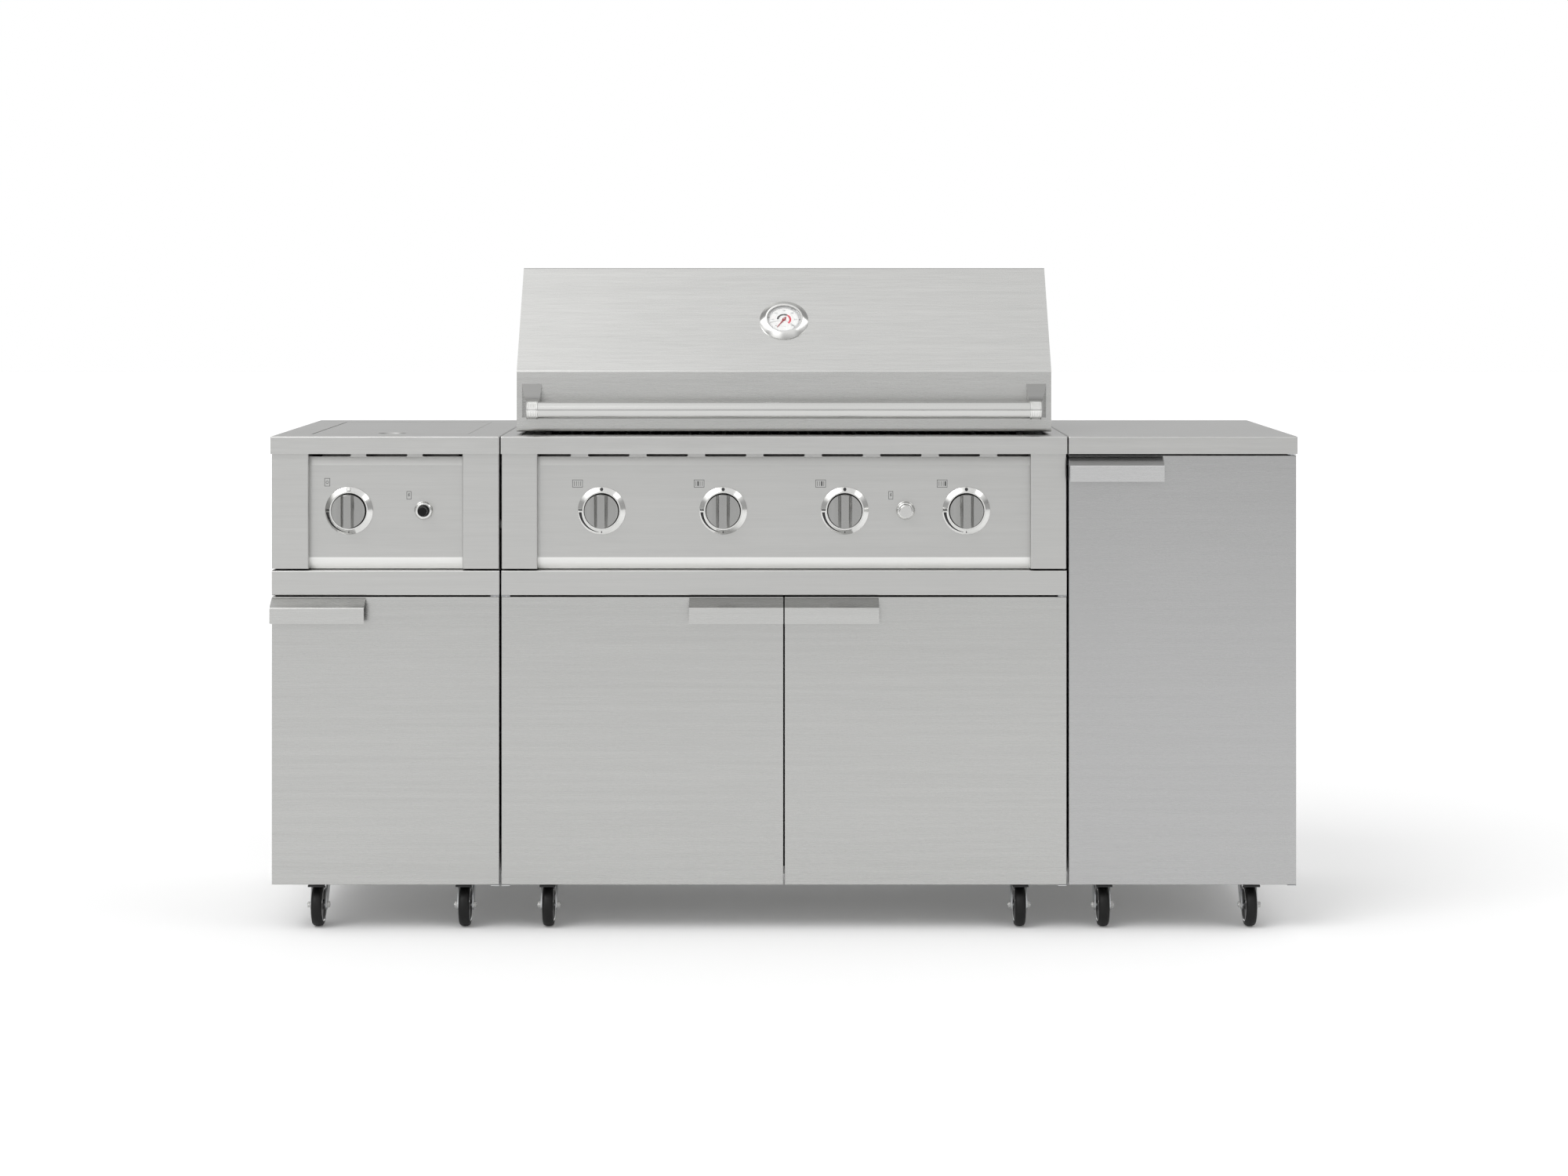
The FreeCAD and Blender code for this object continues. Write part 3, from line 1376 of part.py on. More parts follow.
def thermometer_needle():
    """A tapered pointer; NEEDLE_REST is its angle from three o'clock, counter-clockwise."""
    blade = prism(
        [
            (-NEEDLE_TAIL, -NEEDLE_TAIL_WIDTH / 2),
            (NEEDLE_LENGTH, -NEEDLE_TIP_WIDTH / 2),
            (NEEDLE_LENGTH, NEEDLE_TIP_WIDTH / 2),
            (-NEEDLE_TAIL, NEEDLE_TAIL_WIDTH / 2),
        ],
        "z", 0, NEEDLE_THICKNESS,
    )
    hub = rod_z(0, 0, 0, NEEDLE_THICKNESS, NEEDLE_HUB_R)
    bore = rod_z(0, 0, -1, NEEDLE_THICKNESS + 1, GAUGE_POST_R + RUNNING_FIT)
    needle = joined([blade, hub]).cut(bore)
    out = slope_out()
    needle.rotate(Vector(0, 0, 0), Vector(0, 0, 1), NEEDLE_REST)
    needle.rotate(Vector(0, 0, 0), Vector(1, 0, 0), math.degrees(math.acos(out.z)))
    needle.translate(gauge_centre() + out * NEEDLE_LEVEL)
    return [needle]


# Side burner

def side_burner_lid():
    """The flush lid with its finger dish, its side flanges drilled for the pivot pins."""
    x0 = -SIDE_X - LID_WIDTH / 2
    x1 = x0 + LID_WIDTH
    pan = rounded_tray(
        x0, x1, LID_FRONT, LID_FRONT + LID_DEPTH, WORKTOP_HEIGHT - LID_FLANGE, WORKTOP_HEIGHT,
        DOOR_EDGE_R, SHEET, True,
    )
    ball_r = (DISH_R ** 2 + DISH_DEPTH ** 2) / (2 * DISH_DEPTH)
    centre = Vector(-SIDE_X, LID_FRONT + DISH_IN, WORKTOP_HEIGHT - DISH_DEPTH + ball_r)
    below = block(x0, x1, LID_FRONT, LID_FRONT + LID_DEPTH, 0, WORKTOP_HEIGHT)
    dish = Part.makeSphere(ball_r + SHEET, centre).common(below)
    y, z = lid_axis()
    bore = rod_x(x0 - 1, x1 + 1, y, z, LID_PIN_R + RUNNING_FIT)
    return [joined([pan, dish]).cut([Part.makeSphere(ball_r, centre), bore])]


def bowl_bottom():
    return WORKTOP_HEIGHT - WELL_FLANGE - BOWL_DEPTH


def bowl_ends():
    return LID_FRONT + BOWL_FRONT_CLEAR, LID_FRONT + LID_DEPTH - BOWL_BACK_CLEAR


def bowl_centre_y():
    return sum(bowl_ends()) / 2


def side_burner_bowl():
    rim_top = WORKTOP_HEIGHT - WELL_FLANGE
    half = LID_WIDTH / 2 - BOWL_MARGIN
    front, back = bowl_ends()
    pan = rounded_tray(
        -SIDE_X - half, -SIDE_X + half, front, back, bowl_bottom(), rim_top,
        WORKTOP_EDGE_R, SHEET, False,
    )
    reach = LID_WIDTH / 2 + LID_GAP + SHEET
    rim = block(
        -SIDE_X - reach, -SIDE_X + reach, LID_FRONT - LID_GAP - SHEET, back + BOWL_RIM_BACK,
        rim_top - SHEET, rim_top,
    )
    rim = rim.cut(
        block(-SIDE_X - half + SHEET, -SIDE_X + half - SHEET, front + SHEET, back - SHEET,
              rim_top - 3, rim_top + 1)
    )
    hole = rod_z(
        -SIDE_X, bowl_centre_y(), bowl_bottom() - 1, bowl_bottom() + SHEET + 1, BOWL_HOLE_R
    )
    return [joined([pan, rim]).cut(hole)]


def side_burner_head():
    """The round burner, its neck through the bowl, and its tube forward to the valve."""
    x = -SIDE_X
    y = bowl_centre_y()
    floor = bowl_bottom()
    head_bottom = floor + BURNER_HEAD_RISE
    head = rod_z(x, y, head_bottom, head_bottom + BURNER_HEAD_HEIGHT, BURNER_HEAD_R)
    flange = rod_z(x, y, floor - SHEET, floor, BURNER_FLANGE_R)
    neck = rod_z(x, y, KNOB_HEIGHT, head_bottom + 1, VENTURI_R)
    start = Vector(SIDE_KNOB_X, BURNER_MOUTH, KNOB_HEIGHT)
    turn = start + Vector(0, VENTURI_STRAIGHT, 0)
    end = Vector(x, y, KNOB_HEIGHT)
    slant = end - turn
    pieces = [
        head, flange, neck,
        rod(start, Vector(0, 1, 0), turn.y - start.y, VENTURI_R),
        Part.makeSphere(VENTURI_R, turn),
        rod(turn, slant.normalize(), end.distanceToPoint(turn), VENTURI_R),
        Part.makeSphere(VENTURI_R, end),
    ]
    mouth = rod(
        start - Vector(0, 1, 0), Vector(0, 1, 0), VENTURI_MOUTH, VENTURI_R - VENTURI_WALL
    )
    return [joined(pieces).cut(mouth)]


def side_burner_grate():
    """A ring on a cross of bars, standing on four legs in the bowl."""
    x = -SIDE_X
    y = bowl_centre_y()
    reach = POT_RING_R + POT_BAR_PAST_RING
    low = POT_GRATE_TOP - POT_BAR
    half = POT_BAR / 2
    ring = rod_z(x, y, low, POT_GRATE_TOP - 1, POT_RING_R + half).cut(
        rod_z(x, y, low - 1, POT_GRATE_TOP + 1, POT_RING_R - half)
    )
    inner = POT_RING_R / 3
    pieces = [ring]
    floor = bowl_bottom() + SHEET
    for dx, dy in ((1, 0), (-1, 0), (0, 1), (0, -1)):
        xs = sorted((x + dx * inner, x + dx * reach)) if dx else [x - half, x + half]
        ys = sorted((y + dy * inner, y + dy * reach)) if dy else [y - half, y + half]
        pieces.append(block(*xs, *ys, low, POT_GRATE_TOP))
        foot_x = x + dx * (reach - half)
        foot_y = y + dy * (reach - half)
        pieces.append(
            block(foot_x - half, foot_x + half, foot_y - half, foot_y + half, floor, low + 1)
        )
    return [joined(pieces)]


# Casters

def caster_columns():
    """X of the six casters of a row, with a name for each."""
    side_x = SIDE_X - SIDE_CASTER_SHIFT
    return {
        "left_outer": -side_x - SIDE_CASTER_SPREAD,
        "left_inner": -side_x + SIDE_CASTER_SPREAD,
        "centre_left": -CENTRE_CASTER_SPREAD,
        "centre_right": CENTRE_CASTER_SPREAD,
        "right_inner": side_x - SIDE_CASTER_SPREAD,
        "right_outer": side_x + SIDE_CASTER_SPREAD,
    }


def caster_wheel(x, y):
    """A wheel with round shoulders, dished on both sides round a hub."""
    half = WHEEL_WIDTH / 2
    wheel = rod_x(x - half, x + half, y, WHEEL_R, WHEEL_R)
    wheel = wheel.makeFillet(WHEEL_EDGE_R, edges_at(wheel, lambda e: len(e.Vertexes) == 1))
    dishes = [
        rod_x(x - half - 1, x - half + DISHED, y, WHEEL_R, DISHED_R),
        rod_x(x + half - DISHED, x + half + 1, y, WHEEL_R, DISHED_R),
    ]
    hub = rod_x(x - half, x + half, y, WHEEL_R, HUB_R)
    bore = rod_x(x - half - 1, x + half + 1, y, WHEEL_R, AXLE_R + RUNNING_FIT)
    return joined([wheel.cut(dishes), hub]).cut(bore)


def fork_leg(x, pivot_y, axle_y, top):
    """A leg that tapers from the crown to a round end at the axle."""
    toe = FORK_TOE_R
    return prism(
        [
            (pivot_y - FORK_CROWN_HALF, top),
            (axle_y - toe, WHEEL_R - toe, toe - 1),
            (axle_y + toe, WHEEL_R - toe, toe - 1),
            (pivot_y + FORK_CROWN_HALF, top),
        ],
        "x", x, x + FORK_SHEET,
    )


def axle(x, y):
    reach = FORK_GAP / 2 + FORK_SHEET
    shaft = rod_x(x - reach, x + reach, y, WHEEL_R, AXLE_R)
    heads = [
        rod_x(x - reach - AXLE_HEAD, x - reach, y, WHEEL_R, AXLE_HEAD_R),
        rod_x(x + reach, x + reach + AXLE_HEAD, y, WHEEL_R, AXLE_HEAD_R),
    ]
    return joined([shaft] + heads)


def fork_body(x, pivot_y, axle_y):
    crown_top = FORK_CROWN_BOTTOM + FORK_SHEET
    inner = FORK_GAP / 2
    outer = inner + FORK_SHEET
    crown = block(
        x - outer, x + outer, pivot_y - FORK_CROWN_HALF, pivot_y + FORK_CROWN_HALF,
        FORK_CROWN_BOTTOM, crown_top,
    )
    legs = [
        fork_leg(x - outer, pivot_y, axle_y, crown_top),
        fork_leg(x + inner, pivot_y, axle_y, crown_top),
    ]
    hole = rod_x(x - outer - 1, x + outer + 1, axle_y, WHEEL_R, AXLE_R + HOLE_FIT)
    return joined([crown] + legs).cut(hole)


def race_levels():
    """Bottom and top of the fork's upper race, and the underside of the plate."""
    bottom = FORK_CROWN_BOTTOM + FORK_SHEET
    plate_bottom = FLOOR_HEIGHT - CASTER_PLATE
    return bottom, (bottom + plate_bottom) / 2, plate_bottom


def pedal_pins(x):
    """Stub pins through the fork's legs, on which the brake pedal tilts."""
    z = FORK_CROWN_BOTTOM - PEDAL_GAP - PEDAL_PIN_DOWN
    leg = FORK_GAP / 2
    pins = []
    for side in (-1, 1):
        tip = x + side * (leg - PEDAL_GAP - PEDAL_EAR_SHEET)
        face = x + side * (leg + FORK_SHEET)
        head = face + side * PEDAL_PIN_HEAD
        pins.append(rod_x(min(tip, face), max(tip, face), PEDAL_PIN_BACK, z, PEDAL_PIN_R))
        pins.append(rod_x(min(face, head), max(face, head), PEDAL_PIN_BACK, z, PEDAL_PIN_HEAD_R))
    return pins


def brake_pedal(x):
    """A tread in front of the fork, with two ears between the legs and the wheel."""
    top = FORK_CROWN_BOTTOM - PEDAL_GAP
    bottom = top - PEDAL_SHEET
    outer = FORK_GAP / 2 - PEDAL_GAP
    inner = outer - PEDAL_EAR_SHEET
    tread = block(x - PEDAL_HALF, x + PEDAL_HALF, PEDAL_TIP, PEDAL_SHOULDER, bottom, top)
    tongue = block(x - outer, x + outer, PEDAL_SHOULDER - 1, PEDAL_HEEL, bottom, top)
    ear_front = PEDAL_PIN_BACK - PEDAL_EAR_FRONT
    ears = [
        block(x - outer, x - inner, ear_front, PEDAL_HEEL, top - PEDAL_EAR, top),
        block(x + inner, x + outer, ear_front, PEDAL_HEEL, top - PEDAL_EAR, top),
    ]
    bore = rod_x(
        x - outer - 1, x + outer + 1, PEDAL_PIN_BACK, top - PEDAL_PIN_DOWN,
        PEDAL_PIN_R + RUNNING_FIT,
    )
    return joined([tread, tongue] + ears).cut(bore)


def front_caster(x):
    """A swivel fork with its race and kingpin, its axle and its brake pedal."""
    pivot_y = AXLE_BACK + CASTER_TRAIL
    bottom, middle, _ = race_levels()
    race = rod_z(x, pivot_y, bottom, middle - RUNNING_GAP, FORK_RACE_R)
    kingpin = rod_z(x, pivot_y, bottom, FLOOR_HEIGHT - 1, KINGPIN_R)
    fork = joined([fork_body(x, pivot_y, AXLE_BACK), race, kingpin] + pedal_pins(x))
    return [fork, axle(x, AXLE_BACK), brake_pedal(x)]


def swivel_plate(x):
    pivot_y = AXLE_BACK + CASTER_TRAIL
    half = CASTER_PLATE_HALF
    _, middle, top = race_levels()
    plate = block(x - half, x + half, pivot_y - half, pivot_y + half, top, FLOOR_HEIGHT)
    race = rod_z(x, pivot_y, middle, top, PLATE_RACE_R)
    bore = rod_z(x, pivot_y, middle - 1, FLOOR_HEIGHT + 1, KINGPIN_R + RUNNING_FIT)
    return joined([plate, race]).cut(bore)


def rear_caster_frame(x):
    """A fixed fork on its plate, and its axle."""
    bottom, _, top = race_levels()
    half = CASTER_PLATE_HALF
    plate = block(
        x - half, x + half, REAR_AXLE_BACK - half, REAR_AXLE_BACK + half, top, FLOOR_HEIGHT
    )
    neck = rod_z(x, REAR_AXLE_BACK, bottom, top, RIGID_NECK_R)
    fork = fork_body(x, REAR_AXLE_BACK, REAR_AXLE_BACK)
    return [joined([plate, neck, fork]), axle(x, REAR_AXLE_BACK)]


def caster_plates():
    pieces = []
    for x in caster_columns().values():
        pieces.append(swivel_plate(x))
        pieces += rear_caster_frame(x)
    return pieces


# Fasteners and bumpers

def caster_screws(x, y):
    """The screws of one caster plate, seen as heads on the cabinet floor."""
    low = FLOOR_HEIGHT + SHEET
    spread = (-CASTER_SCREW_SPREAD, CASTER_SCREW_SPREAD)
    return [
        rod_z(x + dx, y + dy, low, low + CASTER_SCREW_HEAD, SCREW_R)
        for dx in spread
        for dy in spread
    ]


def bumpers_and_screws():
    pieces = cabinet_bolts() + [
        rod_z(side * BUMPER_X, HOOD_FRONT + BUMPER_IN, WORKTOP_UNDER, HOOD_BOTTOM - RUNNING_GAP,
              BUMPER_R)
        for side in (-1, 1)
    ]
    backwards = Vector(0, 1, 0)
    lowest = FLOOR_HEIGHT + BACK_SCREW_END
    pitch = (WORKTOP_UNDER - BACK_SCREW_END - lowest) / (BACK_SCREW_ROWS - 1)
    for x, width in modules():
        half = inner_half(width) - BACK_SCREW_IN
        for z in [lowest + i * pitch for i in range(BACK_SCREW_ROWS)]:
            for side in (-1, 1):
                place = Vector(x + side * half, BACK_FACE, z)
                pieces.append(rod(place, backwards, SCREW_HEAD, SCREW_R))
    for x in caster_columns().values():
        for y in (AXLE_BACK + CASTER_TRAIL, REAR_AXLE_BACK):
            pieces += caster_screws(x, y)
    return pieces


def main():
    os.makedirs("parts", exist_ok=True)
    save("left_worktop", [left_worktop()])
    save("centre_worktop", [centre_worktop()])
    save("right_worktop", [right_worktop()])
    save("cabinet_side_panels", cabinet_side_panels())
    save("cabinet_back_panels", cabinet_back_panels())
    save("cabinet_floors_and_shelf", cabinet_floors_and_shelf())
    save("front_frames", front_frames())
    save("control_panels", control_panels())
    save("control_bezels", control_bezels())
    save("hinge_plates_and_pins", hinge_plates_and_pins())
    save("gas_manifold", gas_manifold())
    save("gas_valves", gas_valves())
    save("firebox", firebox())
    save("main_burners", main_burners())
    save("flame_tamers", flame_tamers())
    save("cooking_grates", cooking_grates())
    save("warming_rack", warming_rack())
    save("side_burner_bowl", side_burner_bowl())
    save("side_burner_head", side_burner_head())
    save("side_burner_grate", side_burner_grate())
    save("caster_plates", caster_plates())
    save("bumpers_and_screws", bumpers_and_screws())

    save("hood_shell", hood_shell())
    save("hood_end_panels", hood_end_panels())
    save("hood_handle_bar", hood_handle_bar())
    save("hood_handle_brackets", hood_handle_brackets())
    save("thermometer_case", thermometer_case())
    save("thermometer_lens", thermometer_lens())
    save("thermometer_needle", thermometer_needle())
    save("side_burner_lid", side_burner_lid())
    save("drip_tray", drip_tray())
    for name, edges in door_edges().items():
        save(name, door(*edges))
    save("side_knob", knob(SIDE_KNOB_X))
    for i, x in enumerate(MAIN_KNOB_X):
        save("main_knob_%d" % (i + 1), knob(x))
    save("side_igniter_button", [igniter_button(SIDE_IGNITER_X, IGNITER_STEM_R)])
    save("main_igniter_button", [igniter_button(MAIN_IGNITER_X, IGNITER_CAP_R)])
    for name, x in caster_columns().items():
        save("caster_fork_" + name, front_caster(x))
        save("front_wheel_" + name, [caster_wheel(x, AXLE_BACK)])
        save("rear_wheel_" + name, [caster_wheel(x, REAR_AXLE_BACK)])


main()
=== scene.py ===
# An outdoor kitchen island in brushed steel: three cabinets on casters, a four-burner grill
# under a hood, and a side burner under a flush lid.
# Lengths are in metres. X runs to the right, Y to the back and Z up.
import math

import bmesh
import bpy
from mathutils import Matrix, Vector


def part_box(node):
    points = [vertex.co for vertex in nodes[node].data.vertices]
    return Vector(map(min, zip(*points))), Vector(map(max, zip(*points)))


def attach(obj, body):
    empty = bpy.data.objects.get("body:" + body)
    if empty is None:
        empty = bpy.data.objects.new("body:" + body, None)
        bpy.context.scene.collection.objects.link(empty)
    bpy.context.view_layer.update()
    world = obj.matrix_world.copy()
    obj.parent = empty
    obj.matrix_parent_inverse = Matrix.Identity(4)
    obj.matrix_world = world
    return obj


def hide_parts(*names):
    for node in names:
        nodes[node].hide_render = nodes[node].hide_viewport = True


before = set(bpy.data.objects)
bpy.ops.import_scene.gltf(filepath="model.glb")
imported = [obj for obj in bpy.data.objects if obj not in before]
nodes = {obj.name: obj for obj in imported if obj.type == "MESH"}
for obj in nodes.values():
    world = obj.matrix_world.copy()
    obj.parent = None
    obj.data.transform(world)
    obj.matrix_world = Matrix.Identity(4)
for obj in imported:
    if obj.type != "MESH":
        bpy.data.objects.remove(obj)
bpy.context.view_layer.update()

MM = 0.001

# Faces that meet at more degrees than this keep a sharp edge between them
SHARP_ANGLE = 32

# The view: rows and columns of the photograph, and metres
PHOTO_WIDTH = 2000
PHOTO_HEIGHT = 1500
HORIZON_ROW = 345.4
EYE_HEIGHT = 1.1603
EYE_DISTANCE = 5.52
PIXELS_PER_METRE = 727.3
SENSOR_WIDTH = 36.0

# The studio: the floor, the brightness mirrored from each direction, and the lamps
FLOOR_HALF = 30.0
FLOOR_WHITE = 0.86
FLOOR_GLOW = 0.055
FAR_GLOW = 0.2
GLOW_NEAR = 1.8
GLOW_FAR = 5.0
SKY_OPEN = 0.86
SKY_HORIZON = 1.35
FRONT_LOW = 0.45
FRONT_HIGH = 0.94
BACK_LOW = 0.97
BACK_HIGH = 0.34
SIDE_LOW = 0.42
LEFT_GAIN = 1.8
KEY_STRENGTH = 0.85
KEY_ANGLE = 35.0
KEY_FROM = (-0.5, -0.55, 0.78)
SOFTBOX_POWER = 28.0
SOFTBOX_WIDTH = 1.4
SOFTBOX_LENGTH = 4.6
SOFTBOX_ASIDE = 3.1
SOFTBOX_AHEAD = 1.6
SOFTBOX_UP = 4.0
SOFTBOX_AIM_UP = 0.9

# Marks on the control panels and bezels
INK_THICKNESS = 0.1 * MM
ICON_WIDTH = 18.4 * MM
ICON_HEIGHT = 13.8 * MM
ICON_LINE = 0.9 * MM
ICON_BAR = 2.3 * MM
ICON_LEFT = 42.5 * MM
ICON_UP = 47.6 * MM
SMALL_ICON_WIDTH = 8.4 * MM
SMALL_ICON_HEIGHT = 14.5 * MM
IGNITER_ICON_LEFT = 26.0 * MM
IGNITER_ICON_UP = 27.0 * MM
SIDE_ICON_LEFT = 38.5 * MM
SIDE_ICON_UP = 50.0 * MM
SIDE_ICON_WIDTH = 10.0 * MM
SIDE_ICON_RING_R = 2.2 * MM
DOT_R = 2.9 * MM
ARC_START = 184.0
ARC_END = 262.0
ARC_WIDE = 5.0 * MM
ARC_NARROW = 0.5 * MM
FLAME_WIDTH = 3.0 * MM
FLAME_HEIGHT = 3.6 * MM

# Control panels
PANEL_LOW_FLANGE = 20.0 * MM
PANEL_LOW_BAND = 21.0 * MM

# Bezels
BEZEL_R = 42.0 * MM
BEZEL_FOOT = 1.5 * MM
BEZEL_TOP_R = 33.5 * MM
BEZEL_HEIGHT = 6.5 * MM
BEZEL_BORE = 31.0 * MM
# A black ring of painted shade at the bottom of the gap round each knob
GAP_SHADE_R = 24.0 * MM
GAP_SHADE_LIFT = 0.1 * MM
GAP_SHADE_TOP = 1.2 * MM
RING_R = 16.5 * MM
RING_BORE = 8.4 * MM
RING_FOOT = 1.2 * MM
RING_HEIGHT = 5.5 * MM
RING_SEAT_R = 13.0 * MM
RING_TUBE_R = 11.0 * MM
RING_TUBE_LENGTH = 18.0 * MM

# Thermometer: the hood's slope, then sizes
SLOPE_OUT = (0.0, -0.7651, 0.6438)
SLOPE_UP = (0.0, 0.6438, 0.7651)
LENS_INSET = 1.4 * MM
DIAL_R = 30.0 * MM
DIAL_LEVEL = 3.0 * MM
DIAL_SHEET = 0.25 * MM
DIAL_PRINT = 0.05 * MM
DIAL_FACE_R = 13.6 * MM
DIAL_FACE_WIDTH = 24.6 * MM
DIAL_RIM_R = 28.0 * MM
DIAL_RIM_WIDTH = 3.6 * MM
DIAL_START = 225
DIAL_SWEEP = 270
DIAL_TICKS = 31
DIAL_NUMBERS = 7
PROBE_LENGTH = 45.0 * MM
PROBE_R = 5.0 * MM
POST_R = 1.0 * MM
POST_HEIGHT = 5.2 * MM
CASE_R = 43.5 * MM
CASE_FOOT = 1.5 * MM
CASE_TOP_R = 33.2 * MM
CASE_HEIGHT = 7.5 * MM
CASE_BORE = 30.2 * MM
SCALE_ARC_R = 11.3 * MM
SCALE_ARC_WIDTH = 3.4 * MM
NUMBER_R = 20.5 * MM
NUMBER_HEIGHT = 3.6 * MM
INNER_RING_R = 16.6 * MM
INNER_RING_WIDTH = 0.3 * MM
TICK_R = 25.0 * MM
TICK_LENGTH = 1.6 * MM
TICK_WIDTH = 0.3 * MM

# Hood handle
COLLAR_R = 16.0 * MM
COLLAR_BED_R = 15.1 * MM
COLLAR_BORE_R = 14.6 * MM
COLLAR_LENGTH = 20.0 * MM
COLLAR_BORE = 15.0 * MM
COLLAR_ROWS = 5
COLLAR_BEADS = 40
BEAD_R = 0.85 * MM
BRACKET_WIDTH = 35.0 * MM
BRACKET_HEIGHT = 60.0 * MM
BRACKET_END_WIDTH = 18.0 * MM
BRACKET_END_HEIGHT = 24.0 * MM
BRACKET_STEPS = 10

# Burners
TUBE_R = 14.0 * MM
PORT_R = 1.5 * MM
PORT_START = 90.0 * MM
PORT_PITCH = 7.6 * MM
PORT_COUNT = 40
PORT_LEAN = 40
CAP_R = 51.0 * MM
CAP_PORTS = 48

# Fasteners
HEX_ROUND = 0.5 * MM
BOLT_HEAD = 4.0 * MM
SPACER_BORE_R = 4.0 * MM
SPACER_ROUND = 0.4 * MM
CROSS_ARM = 0.55
CROSS_WIDTH = 0.13

# Casters
TYRE_DEPTH = 9.0 * MM
AXLE_BORE_R = 4.1 * MM
BOSS_R = 8.0 * MM
HUB_DISH_R = 22.0 * MM
PEDAL_HALF = 14.0 * MM
PEDAL_RIBS = 7
PEDAL_RIB_PITCH = 4.4 * MM
FORK_HALF = 14.5 * MM
NUT_R = 5.65 * MM
NUT_HEIGHT = 5.1 * MM

scene = bpy.context.scene


# Node trees

class Tree:
    """A node tree being built: adds nodes, sets their inputs and links them."""

    def __init__(self, tree):
        self.tree = tree

    def add(self, kind, inputs=None, **settings):
        node = self.tree.nodes.new(kind)
        for name, value in settings.items():
            setattr(node, name, value)
        for name, value in (inputs or {}).items():
            self.feed(node.inputs[name], value)
        return node

    def feed(self, socket, value):
        if isinstance(value, bpy.types.NodeSocket):
            self.tree.links.new(value, socket)
        else:
            socket.default_value = value

    def math(self, operation, a, b=0.0, c=0.0):
        return self.add("ShaderNodeMath", {0: a, 1: b, 2: c}, operation=operation).outputs[0]

    def vector(self, operation, a, b=(0, 0, 0)):
        node = self.add("ShaderNodeVectorMath", {0: a, 1: b}, operation=operation)
        return node.outputs["Value"]

    def scaled(self, a, factor):
        node = self.add("ShaderNodeVectorMath", {0: a, "Scale": factor}, operation="SCALE")
        return node.outputs["Vector"]

    def object_place(self, axis):
        """One coordinate of the shaded point, in the object's own frame."""
        place = self.add("ShaderNodeTexCoord").outputs["Object"]
        return self.add("ShaderNodeSeparateXYZ", {"Vector": place}).outputs[axis]

    def ramp(self, value, low, high, out_low=0.0, out_high=1.0):
        """A smooth step from one value to another while the input goes from low to high."""
        node = self.add("ShaderNodeMapRange", {
            "Value": value, "From Min": low, "From Max": high,
            "To Min": out_low, "To Max": out_high,
        }, interpolation_type="SMOOTHSTEP")
        return node.outputs["Result"]

    def mix(self, share, low, high):
        return self.add("ShaderNodeMix", {0: share, 2: low, 3: high}).outputs[0]

    def noise(self, place, scale, detail=2.0):
        node = self.add("ShaderNodeTexNoise", {"Vector": place, "Scale": scale, "Detail": detail})
        return node.outputs["Fac"]


def shader_group(name, inputs, outputs):
    """An empty shader node group with float inputs and outputs, and its two end nodes."""
    group = bpy.data.node_groups.new(name, "ShaderNodeTree")
    for label, value in inputs.items():
        socket = group.interface.new_socket(label, in_out="INPUT", socket_type="NodeSocketFloat")
        socket.default_value = value
    for label in outputs:
        group.interface.new_socket(label, in_out="OUTPUT", socket_type="NodeSocketFloat")
    tree = Tree(group)
    return group, tree, tree.add("NodeGroupInput"), tree.add("NodeGroupOutput")


def make_brushed_grain():
    """Fine strokes along X, or along Y on faces that look sideways, and longer streaks."""
    group, tree, start, end = shader_group(
        "brushed_grain",
        {"Strokes": 900.0, "Length": 60.0, "Streaks": 120.0, "Strength": 0.05},
        ["Shade", "Rough", "Height"],
    )
    place = tree.add("ShaderNodeTexCoord")
    parts = tree.add("ShaderNodeSeparateXYZ", {"Vector": place.outputs["Object"]})
    facing = tree.add("ShaderNodeSeparateXYZ", {"Vector": place.outputs["Normal"]})
    sideways = tree.math("GREATER_THAN", tree.math("ABSOLUTE", facing.outputs["X"]), 0.7)
    lengthwise = tree.mix(sideways, parts.outputs["X"], parts.outputs["Y"])
    across = tree.mix(sideways, parts.outputs["Y"], parts.outputs["X"])

    def strokes(per_metre):
        ratio = tree.math("DIVIDE", per_metre, start.outputs["Length"])
        stretched = tree.add("ShaderNodeCombineXYZ", {
            "X": tree.math("MULTIPLY", lengthwise, ratio),
            "Y": tree.math("MULTIPLY", across, per_metre),
            "Z": tree.math("MULTIPLY", parts.outputs["Z"], per_metre),
        })
        return tree.math("SUBTRACT", tree.noise(stretched.outputs[0], 1.0), 0.5)

    fine = strokes(start.outputs["Strokes"])
    streaks = strokes(start.outputs["Streaks"])
    both = tree.math("ADD", fine, streaks)
    strength = start.outputs["Strength"]
    tree.feed(end.inputs["Shade"], tree.math("MULTIPLY_ADD", both, strength, 1.0))
    tree.feed(end.inputs["Rough"], tree.math("MULTIPLY", fine, strength))
    tree.feed(end.inputs["Height"], fine)
    return group


def make_turned_grain():
    """Strokes that run round a turned piece, read from its own UV map."""
    group, tree, start, end = shader_group(
        "turned_grain",
        {"Strokes": 2500.0, "Strength": 0.06},
        ["Shade", "Rough", "Height"],
    )
    place = tree.add("ShaderNodeTexCoord")
    parts = tree.add("ShaderNodeSeparateXYZ", {"Vector": place.outputs["UV"]})
    stretched = tree.add("ShaderNodeCombineXYZ", {
        "X": tree.math("MULTIPLY", parts.outputs["X"], 9.0),
        "Y": tree.math("MULTIPLY", parts.outputs["Y"], start.outputs["Strokes"]),
    })
    fine = tree.math("SUBTRACT", tree.noise(stretched.outputs[0], 1.0), 0.5)
    strength = start.outputs["Strength"]
    tree.feed(end.inputs["Shade"], tree.math("MULTIPLY_ADD", fine, strength, 1.0))
    tree.feed(end.inputs["Rough"], tree.math("MULTIPLY", fine, strength))
    tree.feed(end.inputs["Height"], fine)
    return group


